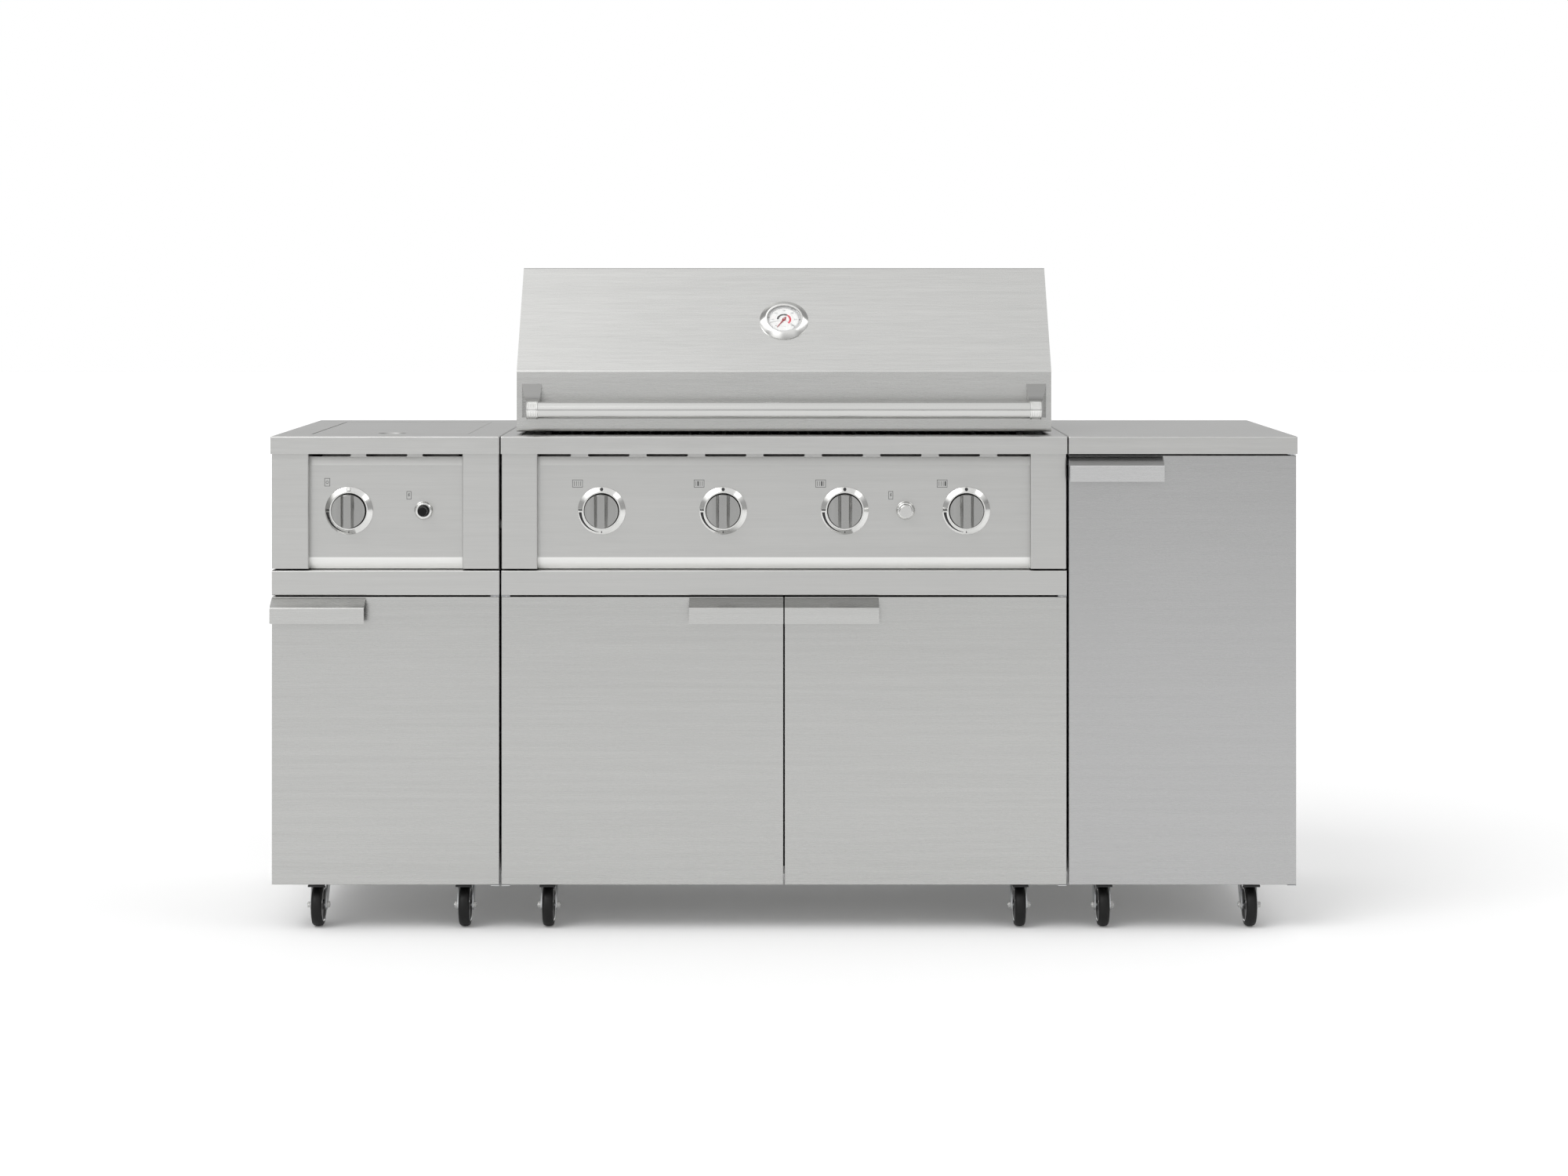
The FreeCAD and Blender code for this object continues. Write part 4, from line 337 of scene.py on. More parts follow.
def make_soft_patches():
    """Broad, faint differences in shade over a sheet."""
    group, tree, start, end = shader_group(
        "soft_patches", {"Per Metre": 2.5, "Strength": 0.05}, ["Shade", "Rough"]
    )
    place = tree.add("ShaderNodeTexCoord")
    cloud = tree.math(
        "SUBTRACT", tree.noise(place.outputs["Object"], start.outputs["Per Metre"]), 0.5
    )
    strength = start.outputs["Strength"]
    tree.feed(end.inputs["Shade"], tree.math("MULTIPLY_ADD", cloud, strength, 1.0))
    tree.feed(end.inputs["Rough"], tree.math("MULTIPLY", cloud, strength))
    return group


def make_edge_wear_and_highlight():
    """A mask of the edges, which are painted brighter: partly wear where handling has polished
    them, partly a painted highlight along them.
    """
    group, tree, start, end = shader_group(
        "edge_wear_and_highlight", {"Width": 1.2 * MM, "Amount": 1.0}, ["Mask"]
    )
    rounded = tree.add("ShaderNodeBevel", {"Radius": start.outputs["Width"]}, samples=4)
    flat = tree.add("ShaderNodeNewGeometry")
    agree = tree.vector("DOT_PRODUCT", rounded.outputs["Normal"], flat.outputs["True Normal"])
    edge = tree.ramp(agree, 0.995, 0.85)
    tree.feed(end.inputs["Mask"], tree.math("MULTIPLY", edge, start.outputs["Amount"]))
    return group


def make_cast_pits():
    """The rough skin of a casting."""
    group, tree, start, end = shader_group(
        "cast_pits", {"Per Metre": 900.0, "Strength": 0.3}, ["Shade", "Rough", "Height"]
    )
    place = tree.add("ShaderNodeTexCoord")
    coarse = tree.noise(place.outputs["Object"], start.outputs["Per Metre"], 4.0)
    pits = tree.math("SUBTRACT", coarse, 0.5)
    strength = start.outputs["Strength"]
    tree.feed(end.inputs["Shade"], tree.math("MULTIPLY_ADD", pits, strength, 1.0))
    tree.feed(end.inputs["Rough"], tree.math("MULTIPLY", pits, strength))
    tree.feed(end.inputs["Height"], coarse)
    return group


brushed_grain = make_brushed_grain()
turned_grain = make_turned_grain()
soft_patches = make_soft_patches()
edge_wear_and_highlight = make_edge_wear_and_highlight()
cast_pits = make_cast_pits()


# Materials

def new_material(name):
    material = bpy.data.materials.new(name)
    material.use_nodes = True
    tree = Tree(material.node_tree)
    shader = material.node_tree.nodes["Principled BSDF"]
    return material, tree, shader


def place_group(tree, group, **values):
    node = tree.add("ShaderNodeGroup", node_tree=group)
    for name, value in values.items():
        tree.feed(node.inputs[name.replace("_", " ")], value)
    return node.outputs


def shaded(tree, colour, *shades):
    """A colour multiplied by one shade after another."""
    result = colour
    for shade in shades:
        result = tree.scaled(result, shade)
    return result


def lightened(tree, colour, edge_colour, mask):
    node = tree.add("ShaderNodeMix", {0: mask, 6: colour, 7: edge_colour}, data_type="RGBA")
    return node.outputs[2]


def bumped(tree, height, strength, distance):
    node = tree.add(
        "ShaderNodeBump", {"Height": height, "Strength": strength, "Distance": distance}
    )
    return node.outputs["Normal"]


def brush_face(tree, shader, colour, roughness, strength, strokes=900.0):
    """Brushed strokes, soft patches, and edges brightened by wear and a painted highlight, on a
    face of the given colour.
    """
    grain = place_group(tree, brushed_grain, Strokes=strokes, Strength=strength)
    patches = place_group(tree, soft_patches, Strength=0.05)
    edges = place_group(tree, edge_wear_and_highlight, Amount=0.6)
    face = shaded(tree, colour, grain["Shade"], patches["Shade"])
    # Edges painted brighter: wear, and a painted highlight along them
    bright = shaded(tree, colour, 1.18)
    tree.feed(shader.inputs["Base Color"], lightened(tree, face, bright, edges["Mask"]))
    rough = tree.math("ADD", tree.math("ADD", grain["Rough"], patches["Rough"]), roughness)
    tree.feed(shader.inputs["Roughness"], rough)
    shader.inputs["Metallic"].default_value = 1.0
    tree.feed(shader.inputs["Normal"], bumped(tree, grain["Height"], 0.05, 0.1 * MM))


def brushed_steel(name, colour, roughness, strength, strokes=900.0):
    """Sheet steel with a brushed face."""
    material, tree, shader = new_material(name)
    brush_face(tree, shader, colour, roughness, strength, strokes)
    return material


def panel_with_painted_fold_highlight(name, colour, fold_highlight_colour, roughness, strength):
    """Brushed steel with a painted highlight on its lower fold, which is brighter than its face.
    """
    material, tree, shader = new_material(name)
    fold_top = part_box("control_panels")[0].z + PANEL_LOW_FLANGE + PANEL_LOW_BAND
    in_lit_fold = tree.ramp(tree.object_place("Z"), fold_top + 0.3 * MM, fold_top - 0.3 * MM)
    # The lower fold gets a painted highlight: a brighter colour than the face
    shade = lightened(tree, (*colour, 1), (*fold_highlight_colour, 1), in_lit_fold)
    brush_face(tree, shader, shade, roughness, strength)
    return material


def door_with_painted_grip_light(name, colour, slope_shade_colour, lip_highlight_colour, roughness, strength):
    """Brushed steel with painted shade on the slope of the folded grip and a painted highlight on
    its lip.
    """
    material, tree, shader = new_material(name)
    depth = tree.object_place("Y")
    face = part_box("front_frames")[0].y
    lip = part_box("left_door")[0].y
    in_shaded_slope = tree.ramp(depth, face - 0.5 * MM, face - 2.0 * MM)
    in_lit_lip = tree.ramp(depth, lip + 1.2 * MM, lip + 0.7 * MM)
    # Painted shade on the grip's slope, then a painted highlight on its lip
    shade = lightened(tree, (*colour, 1), (*slope_shade_colour, 1), in_shaded_slope)
    shade = lightened(tree, shade, (*lip_highlight_colour, 1), in_lit_lip)
    brush_face(tree, shader, shade, roughness, strength)
    return material


def turned_steel(name, colour, roughness):
    """Steel turned on a lathe: its strokes run round the piece."""
    material, tree, shader = new_material(name)
    grain = place_group(tree, turned_grain, Strength=0.08)
    tree.feed(shader.inputs["Base Color"], shaded(tree, colour, grain["Shade"]))
    tree.feed(shader.inputs["Roughness"], tree.math("ADD", grain["Rough"], roughness))
    shader.inputs["Metallic"].default_value = 1.0
    tree.feed(shader.inputs["Normal"], bumped(tree, grain["Height"], 0.08, 0.1 * MM))
    return material


def plated_metal(name, colour, roughness, strength=0.12):
    """Zinc plate, brass or chrome: a cloudy film on metal."""
    material, tree, shader = new_material(name)
    clouds = place_group(tree, soft_patches, Per_Metre=90.0, Strength=strength)
    edges = place_group(tree, edge_wear_and_highlight, Width=0.6 * MM, Amount=0.5)
    face = shaded(tree, colour, clouds["Shade"])
    # Edges painted brighter: wear, and a painted highlight along them
    bright = tuple(min(1.0, 1.25 * c) for c in colour)
    tree.feed(shader.inputs["Base Color"], lightened(tree, face, (*bright, 1), edges["Mask"]))
    tree.feed(shader.inputs["Roughness"], tree.math("ADD", clouds["Rough"], roughness))
    shader.inputs["Metallic"].default_value = 1.0
    return material


def cast(name, colour, roughness):
    """Cast iron under a thin enamel."""
    material, tree, shader = new_material(name)
    pits = place_group(tree, cast_pits)
    edges = place_group(tree, edge_wear_and_highlight, Width=1.5 * MM, Amount=0.5)
    face = shaded(tree, colour, pits["Shade"])
    # Edges painted brighter: worn enamel, and a painted highlight along them
    bright = tuple(2.2 * c for c in colour)
    tree.feed(shader.inputs["Base Color"], lightened(tree, face, (*bright, 1), edges["Mask"]))
    tree.feed(shader.inputs["Roughness"], tree.math("ADD", pits["Rough"], roughness))
    tree.feed(shader.inputs["Normal"], bumped(tree, pits["Height"], 0.5, 0.3 * MM))
    return material


def moulded(name, colour, roughness, wear=0.35, gloss=0.4):
    """Moulded plastic or rubber with a faint texture."""
    material, tree, shader = new_material(name)
    skin = place_group(tree, cast_pits, Per_Metre=2500.0, Strength=0.2)
    edges = place_group(tree, edge_wear_and_highlight, Width=1.0 * MM, Amount=wear)
    face = shaded(tree, colour, skin["Shade"])
    # Edges painted lighter: wear, and a painted highlight along them
    worn_and_lit_edge = tuple(min(1.0, 3.0 * c + 0.01) for c in colour)
    tree.feed(shader.inputs["Base Color"], lightened(tree, face, (*worn_and_lit_edge, 1), edges["Mask"]))
    tree.feed(shader.inputs["Roughness"], tree.math("ADD", skin["Rough"], roughness))
    shader.inputs["Specular IOR Level"].default_value = gloss
    tree.feed(shader.inputs["Normal"], bumped(tree, skin["Height"], 0.2, 0.1 * MM))
    return material


def printed(name, colour):
    """Printing ink or enamel, slightly uneven."""
    material, tree, shader = new_material(name)
    clouds = place_group(tree, soft_patches, Per_Metre=400.0, Strength=0.08)
    tree.feed(shader.inputs["Base Color"], shaded(tree, colour, clouds["Shade"]))
    tree.feed(shader.inputs["Roughness"], tree.math("ADD", clouds["Rough"], 0.45))
    return material


def clear_glass(name):
    """The thermometer's lens, with a faint film over it."""
    material, tree, shader = new_material(name)
    clouds = place_group(tree, soft_patches, Per_Metre=60.0, Strength=0.03)
    tree.feed(shader.inputs["Base Color"], shaded(tree, (0.99, 0.995, 1.0), clouds["Shade"]))
    tree.feed(shader.inputs["Roughness"], tree.math("ADD", clouds["Rough"], 0.03))
    shader.inputs["Transmission Weight"].default_value = 1.0
    shader.inputs["IOR"].default_value = 1.45
    shader.inputs["Alpha"].default_value = 0.12
    return material


def steel(level, warmth=0.02):
    """A steel colour of one lightness, slightly yellow."""
    return (level, level, level * (1.0 - warmth))


worktop_steel = brushed_steel("worktop_steel", steel(0.545), 0.34, 0.14)
front_steel = brushed_steel("front_steel", steel(0.535), 0.36, 0.1)
# Control panels: a painted highlight makes the lower fold brighter than the face
panel_steel = panel_with_painted_fold_highlight("panel_steel", steel(0.53), steel(0.8), 0.36, 0.1)
bracket_steel = brushed_steel("bracket_steel", steel(0.34), 0.16, 0.08)
# Doors: painted shade on the grip slopes and a painted highlight on the grip lips
door_steel = door_with_painted_grip_light("door_steel", steel(0.495), steel(0.36), steel(0.55), 0.27, 0.12)
tall_door_steel = door_with_painted_grip_light(
    "tall_door_steel", steel(0.46, 0.0), steel(0.36, 0.0), steel(0.6, 0.0), 0.27, 0.07
)
hood_steel = brushed_steel("hood_steel", steel(0.56), 0.28, 0.12)
handle_steel = brushed_steel("handle_steel", steel(0.62), 0.2, 0.03)
cabinet_steel = brushed_steel("cabinet_steel", (0.56, 0.56, 0.55), 0.4, 0.04)
firebox_steel = brushed_steel("firebox_steel", (0.46, 0.455, 0.44), 0.36, 0.08)
knob_steel = brushed_steel("knob_steel", steel(0.37), 0.18, 0.05, 1500.0)
bezel_steel = turned_steel("bezel_steel", steel(0.74), 0.15)
chrome = plated_metal("chrome", (0.8, 0.8, 0.81), 0.1, 0.04)
pipe_steel = plated_metal("pipe_steel", (0.5, 0.5, 0.49), 0.35)
screw_steel = plated_metal("screw_steel", (0.62, 0.62, 0.61), 0.25)
zinc_plate = plated_metal("zinc_plate", (0.58, 0.59, 0.6), 0.33)
brass = plated_metal("brass", (0.72, 0.52, 0.24), 0.3)
cast_iron = cast("cast_iron", (0.02, 0.02, 0.021), 0.55)
burner_iron = cast("burner_iron", (0.05, 0.048, 0.046), 0.5)
black_plastic = moulded("black_plastic", (0.012, 0.012, 0.013), 0.4)
black_rubber = moulded("black_rubber", (0.006, 0.006, 0.006), 0.5, wear=0.1, gloss=0.25)
hub_plastic = moulded("hub_plastic", (0.02, 0.02, 0.021), 0.35)
# The side igniter button's own black, also used as painted shade in the gaps round the knobs
black_button_and_gap_shade = moulded("black_button_and_gap_shade", (0.004, 0.004, 0.004), 0.35, wear=0.1, gloss=0.2)
needle_red = printed("needle_red", (0.3, 0.012, 0.02))
dial_white = printed("dial_white", (0.78, 0.78, 0.77))
dial_grey = printed("dial_grey", (0.5, 0.5, 0.5))
dial_red = printed("dial_red", (0.6, 0.04, 0.07))
# Black print, also used as painted shade in the burners' port holes
ink_and_hole_shade = printed("ink_and_hole_shade", (0.012, 0.012, 0.013))
faint_ink = printed("faint_ink", (0.1, 0.1, 0.1))
lens_glass = clear_glass("lens_glass")


def finish_of(node):
    """The finish of a node that is shown with its CAD shape."""
    if node.startswith("main_knob") or node == "side_knob":
        return knob_steel
    if node.startswith("caster_fork"):
        return zinc_plate
    return {
        "left_worktop": worktop_steel,
        "centre_worktop": worktop_steel,
        "right_worktop": worktop_steel,
        "side_burner_lid": worktop_steel,
        "front_frames": front_steel,
        "control_panels": panel_steel,
        "left_door": door_steel,
        "centre_left_door": door_steel,
        "centre_right_door": door_steel,
        "right_door": tall_door_steel,
        "hood_shell": hood_steel,
        "hood_end_panels": hood_steel,
        "hood_handle_bar": handle_steel,
        "main_igniter_button": handle_steel,
        "gas_manifold": pipe_steel,
        "gas_valves": brass,
        "hinge_plates_and_pins": zinc_plate,
        "caster_plates": zinc_plate,
        "firebox": firebox_steel,
        "flame_tamers": firebox_steel,
        "main_burners": firebox_steel,
        "warming_rack": chrome,
        "side_burner_bowl": firebox_steel,
        "side_burner_head": burner_iron,
        "side_burner_grate": cast_iron,
        "thermometer_needle": needle_red,
        "thermometer_lens": lens_glass,
        "side_igniter_button": black_button_and_gap_shade,
    }.get(node, cabinet_steel)


def dress_nodes():
    """Gives every node its finish."""
    for name, node in nodes.items():
        node.data.materials.clear()
        node.data.materials.append(finish_of(name))


# Shapes

def middle(node):
    low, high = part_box(node)
    return (low + high) / 2


def new_object(name, data):
    made = bpy.data.objects.new(name, data)
    scene.collection.objects.link(made)
    return made


def mesh_of(name, shape):
    """The mesh of a shape, which is used up."""
    mesh = bpy.data.meshes.new(name)
    shape.to_mesh(mesh)
    shape.free()
    return mesh


def add_piece(name, shape, body, finishes, replaced=()):
    """Turns a shape into a named piece on its body, with its finishes in order."""
    bmesh.ops.remove_doubles(shape, verts=shape.verts, dist=1e-7)
    bmesh.ops.recalc_face_normals(shape, faces=shape.faces)
    mesh = mesh_of(name, shape)
    for finish in finishes:
        mesh.materials.append(finish)
    mesh.shade_smooth()
    mesh.set_sharp_from_angle(angle=math.radians(SHARP_ANGLE))
    piece = new_object(name, mesh)
    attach(piece, body)
    if replaced:
        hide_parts(*replaced)
    return piece


def axes(direction):
    """Right and up directions square to a direction, as seen looking against it."""
    out = Vector(direction).normalized()
    right = Vector((0, 0, 1)).cross(out)
    if right.length < 1e-6:
        right = Vector((1, 0, 0))
    right.normalize()
    return right, out.cross(right), out


def add_lathed(shape, profile, centre, direction, turns=96):
    """A closed or axis-to-axis profile of (radius, height) turned about an axis."""
    right, up, out = axes(direction)
    centre = Vector(centre)
    marks = shape.loops.layers.uv.verify()
    lengths = [0.0]
    for (r0, h0), (r1, h1) in zip(profile, profile[1:]):
        lengths.append(lengths[-1] + math.hypot(r1 - r0, h1 - h0))
    rings = []
    for radius, height in profile:
        base = centre + out * height
        if radius < 1e-9:
            rings.append([shape.verts.new(base)])
            continue
        ring = []
        for i in range(turns):
            angle = 2 * math.pi * i / turns
            ring.append(shape.verts.new(
                base + right * math.cos(angle) * radius + up * math.sin(angle) * radius
            ))
        rings.append(ring)
    pairs = [(k, k + 1) for k in range(len(rings) - 1)]
    if len(rings[0]) > 1 and len(rings[-1]) > 1:
        pairs.append((len(rings) - 1, 0))
    for a, b in pairs:
        for i in range(turns):
            j = (i + 1) % turns
            corners = [(rings[a], i, a), (rings[a], j, a), (rings[b], j, b), (rings[b], i, b)]
            seen = []
            for ring, k, level in corners:
                vertex = ring[k] if len(ring) > 1 else ring[0]
                if vertex not in [v for v, _, _ in seen]:
                    turn = (i + 1) / turns if k == j else i / turns
                    seen.append((vertex, turn, lengths[level]))
            if len(seen) < 3:
                continue
            face = shape.faces.new([v for v, _, _ in seen])
            for loop, (_, turn, length) in zip(face.loops, seen):
                loop[marks].uv = (turn, length)


def mirrored(profile):
    """A (radius, height) profile followed by its mirror image across height zero."""
    return profile + [(radius, -height) for radius, height in reversed(profile) if height]


def round_edges(shape, edges, offset, segments=2):
    bmesh.ops.bevel(
        shape, geom=edges, offset=offset, segments=segments, affect="EDGES", profile=0.5
    )


def rounded_block(low, high, rounding, segments=2):
    """A block between two corners, with rounded edges."""
    shape = bmesh.new()
    bmesh.ops.create_cube(shape, size=1.0)
    for vertex in shape.verts:
        vertex.co = Vector(
            low[i] + (vertex.co[i] + 0.5) * (high[i] - low[i]) for i in range(3)
        )
    round_edges(shape, shape.edges[:], rounding, segments)
    return shape


def add_slab(shape, outline, place, low, high, finish=0):
    """A flat slab: an outline of (u, v) placed at two levels and closed round its edge."""
    bottom = [shape.verts.new(place(u, v, low)) for u, v in outline]
    top = [shape.verts.new(place(u, v, high)) for u, v in outline]
    faces = [shape.faces.new(bottom[::-1]), shape.faces.new(top)]
    for i in range(len(outline)):
        j = (i + 1) % len(outline)
        faces.append(shape.faces.new([bottom[i], bottom[j], top[j], top[i]]))
    for face in faces:
        face.material_index = finish


def add_mark(shape, outline, place, finish=0):
    """A printed mark: as thin as ink, and half of it below the face it is on."""
    add_slab(shape, outline, place, -INK_THICKNESS, INK_THICKNESS, finish)


def add_band(shape, inner, outer, place, low, high, finish=0):
    """A band between two lines of points, in pieces that can follow a curved face."""
    for i in range(len(inner) - 1):
        add_slab(
            shape, [inner[i], inner[i + 1], outer[i + 1], outer[i]], place, low, high, finish
        )


def arc_points(radius_at, start, end, steps):
    """Points of an arc whose radius depends on the share of the way along it."""
    points = []
    for i in range(steps + 1):
        share = i / steps
        angle = math.radians(start + (end - start) * share)
        radius = radius_at(share)
        points.append((radius * math.cos(angle), radius * math.sin(angle)))
    return points


def ring_lines(centre_r, width, start, end, steps):
    """The inner and outer line of an arc of even width."""
    inner = arc_points(lambda s: centre_r - width / 2, start, end, steps)
    outer = arc_points(lambda s: centre_r + width / 2, start, end, steps)
    return inner, outer


def bar_outline(u, v, width, height):
    """A rectangle round a point."""
    return [
        (u - width / 2, v - height / 2), (u + width / 2, v - height / 2),
        (u + width / 2, v + height / 2), (u - width / 2, v + height / 2),
    ]


def frame_lines(width, height, line):
    """The four strokes of a rectangle, as outlines."""
    over = (height - line) / 2
    beside = (width - line) / 2
    return [
        bar_outline(0.0, over, width, line), bar_outline(0.0, -over, width, line),
        bar_outline(-beside, 0.0, line, height - 2 * line),
        bar_outline(beside, 0.0, line, height - 2 * line),
    ]


def circle_outline(u, v, radius, steps=24):
    turns = [2 * math.pi * i / steps for i in range(steps)]
    return [(u + radius * math.cos(turn), v + radius * math.sin(turn)) for turn in turns]


def flame_outline(u, v, width, height):
    """A small flame: a drop with its tip up."""
    w = width / 2
    return [
        (u - w * 0.6, v), (u + w * 0.6, v), (u + w, v + height * 0.3),
        (u + w * 0.45, v + height * 0.62), (u, v + height), (u - w * 0.45, v + height * 0.62),
        (u - w, v + height * 0.3),
    ]


# Repeats made with geometry nodes

def geometry_tree(name, sockets):
    """A geometry node tree with named inputs, and its two end nodes."""
    group = bpy.data.node_groups.new(name, "GeometryNodeTree")
    group.interface.new_socket("Geometry", in_out="INPUT", socket_type="NodeSocketGeometry")
    for label, kind in sockets.items():
        group.interface.new_socket(label, in_out="INPUT", socket_type=kind)
    group.interface.new_socket("Geometry", in_out="OUTPUT", socket_type="NodeSocketGeometry")
    tree = Tree(group)
    return group, tree, tree.add("NodeGroupInput"), tree.add("NodeGroupOutput")


def close_tree(tree, start, end, instances):
    """Makes the copies real, and gives them the tree's finish."""
    real = tree.add("GeometryNodeRealizeInstances", {"Geometry": instances})
    painted = tree.add(
        "GeometryNodeSetMaterial",
        {"Geometry": real.outputs[0], "Material": start.outputs["Finish"]},
    )
    tree.feed(end.inputs[0], painted.outputs[0])


def make_row():
    """Copies of a shape in a row, each one step from the last."""
    group, tree, start, end = geometry_tree("row_of_copies", {
        "Count": "NodeSocketInt", "Step": "NodeSocketVector", "Finish": "NodeSocketMaterial",
    })
    line = tree.add("GeometryNodeMeshLine", {
        "Count": start.outputs["Count"], "Offset": start.outputs["Step"],
    })
    copies = tree.add("GeometryNodeInstanceOnPoints", {
        "Points": line.outputs[0], "Instance": start.outputs["Geometry"],
    })
    close_tree(tree, start, end, copies.outputs[0])
    return group


def make_ring():
    """Copies of a shape turned about an axis through a centre."""
    group, tree, start, end = geometry_tree("ring_of_copies", {
        "Count": "NodeSocketInt", "Centre": "NodeSocketVector", "Axis": "NodeSocketVector",
        "Sweep": "NodeSocketFloat", "Finish": "NodeSocketMaterial",
    })
    moved = tree.add("GeometryNodeTransform", {
        "Geometry": start.outputs["Geometry"],
        "Translation": tree.scaled(start.outputs["Centre"], -1.0),
    })
    line = tree.add("GeometryNodeMeshLine", {
        "Count": start.outputs["Count"], "Start Location": start.outputs["Centre"],
        "Offset": (0.0, 0.0, 0.0),
    })
    share = tree.math(
        "DIVIDE", tree.add("GeometryNodeInputIndex").outputs[0], start.outputs["Count"]
    )
    turn = tree.add("FunctionNodeAxisAngleToRotation", {
        "Axis": start.outputs["Axis"],
        "Angle": tree.math("MULTIPLY", share, start.outputs["Sweep"]),
    })
    copies = tree.add("GeometryNodeInstanceOnPoints", {
        "Points": line.outputs[0], "Instance": moved.outputs[0], "Rotation": turn.outputs[0],
    })
    close_tree(tree, start, end, copies.outputs[0])
    return group


def make_spots():
    """One copy of a fastener at every point of a cloud of points."""
    group, tree, start, end = geometry_tree("copies_at_points", {
        "Fastener": "NodeSocketObject", "Finish": "NodeSocketMaterial",
    })
    fastener = tree.add("GeometryNodeObjectInfo", {"Object": start.outputs["Fastener"]})
    copies = tree.add("GeometryNodeInstanceOnPoints", {
        "Points": start.outputs["Geometry"], "Instance": fastener.outputs["Geometry"],
    })
    close_tree(tree, start, end, copies.outputs[0])
    return group


row_of_copies = make_row()
ring_of_copies = make_ring()
copies_at_points = make_spots()


def repeated(shape, group, **values):
    """The mesh that a node tree makes of a shape."""
    holder = new_object("holder", mesh_of("source", shape))
    modifier = holder.modifiers.new("repeat", "NODES")
    modifier.node_group = group
    for item in group.interface.items_tree:
        if item.in_out == "INPUT" and item.name in values:
            modifier[item.identifier] = values[item.name]
    holder.update_tag()
    graph = bpy.context.evaluated_depsgraph_get()
    mesh = bpy.data.meshes.new_from_object(holder.evaluated_get(graph))
    holder.modifiers.clear()
    bpy.data.objects.remove(holder)
    return mesh


def add_repeated(name, meshes, body, finishes, replaced=()):
    """One piece from several repeated meshes, each with its own finish."""
    shape = bmesh.new()
    for index, mesh in enumerate(meshes):
        before = len(shape.faces)
        shape.from_mesh(mesh)
        shape.faces.ensure_lookup_table()
        for face in shape.faces[before:]:
            face.material_index = min(index, len(finishes) - 1)
    return add_piece(name, shape, body, finishes, replaced)


# Bezels and their marks

panel_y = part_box("control_panels")[0].y
knob_places = [middle("side_knob")] + [middle("main_knob_%d" % i) for i in range(1, 5)]
igniter_places = [middle("side_igniter_button"), middle("main_igniter_button")]


def on_panel(centre):
    """Places (right, up, proud) on the control panel's face."""
    def place(u, v, lift):
        return Vector((centre.x + u, panel_y - lift, centre.z + v))
    return place


def on_bezel(centre):
    """Places (right, up, proud) on the bezel's cone."""
    def place(u, v, lift):
        radius = math.hypot(u, v)
        slope = (BEZEL_HEIGHT - BEZEL_FOOT) / (BEZEL_R - BEZEL_TOP_R)
        height = BEZEL_FOOT + (BEZEL_R - radius) * slope
        return Vector((centre.x + u, panel_y - height - lift, centre.z + v))
    return place


def add_knob_bezels():
    """Flat cones round the knobs, open at the knob."""
    shape = bmesh.new()
    profile = [
        (BEZEL_BORE, 0.0),
        (BEZEL_R - 0.2 * MM, 0.0),
        (BEZEL_R, 0.3 * MM),
        (BEZEL_R, BEZEL_FOOT),
        (BEZEL_R - 0.3 * MM, BEZEL_FOOT + 0.3 * MM),
        (BEZEL_TOP_R + 0.4 * MM, BEZEL_HEIGHT - 0.4 * MM),
        (BEZEL_TOP_R, BEZEL_HEIGHT),
        (BEZEL_BORE + 0.5 * MM, BEZEL_HEIGHT),
        (BEZEL_BORE, BEZEL_HEIGHT - 0.5 * MM),
    ]
    for place in knob_places:
        add_lathed(shape, profile, (place.x, panel_y, place.z), (0, -1, 0), 128)
    add_piece("knob_bezels", shape, "island", [bezel_steel], ["control_bezels"])


def add_knob_gap_shade():
    """A black ring at the bottom of the gap round each knob: painted shade in the gap."""
    shape = bmesh.new()
    for place in knob_places:
        add_lathed(shape, [
            (GAP_SHADE_R, GAP_SHADE_LIFT), (BEZEL_BORE - GAP_SHADE_LIFT, GAP_SHADE_LIFT),
            (BEZEL_BORE - GAP_SHADE_LIFT, GAP_SHADE_TOP), (GAP_SHADE_R, GAP_SHADE_TOP),
        ], (place.x, panel_y, place.z), (0, -1, 0), 96)
    add_piece("knob_gaskets", shape, "island", [black_button_and_gap_shade])


def add_igniter_bezels():
    """Rings round the igniter buttons, each on a tube through the panel."""
    shape = bmesh.new()
    profile = [
        (RING_BORE, -RING_TUBE_LENGTH),
        (RING_TUBE_R, -RING_TUBE_LENGTH),
        (RING_TUBE_R, 0.0),
        (RING_R, 0.0),
        (RING_R, RING_FOOT),
        (RING_R - 0.4 * MM, RING_FOOT + 0.6 * MM),
        (RING_SEAT_R + 0.4 * MM, RING_HEIGHT - 0.2 * MM),
        (RING_SEAT_R, RING_HEIGHT),
        (RING_BORE + 1.6 * MM, RING_HEIGHT),
        (RING_BORE + 0.8 * MM, RING_HEIGHT - 0.4 * MM),
        (RING_BORE, RING_HEIGHT - 0.6 * MM),
    ]
    for place in igniter_places:
        add_lathed(shape, profile, (place.x, panel_y, place.z), (0, -1, 0), 72)
    add_piece(
        "igniter_bezels", shape, "island", [bezel_steel], ["control_bezels"]
    )


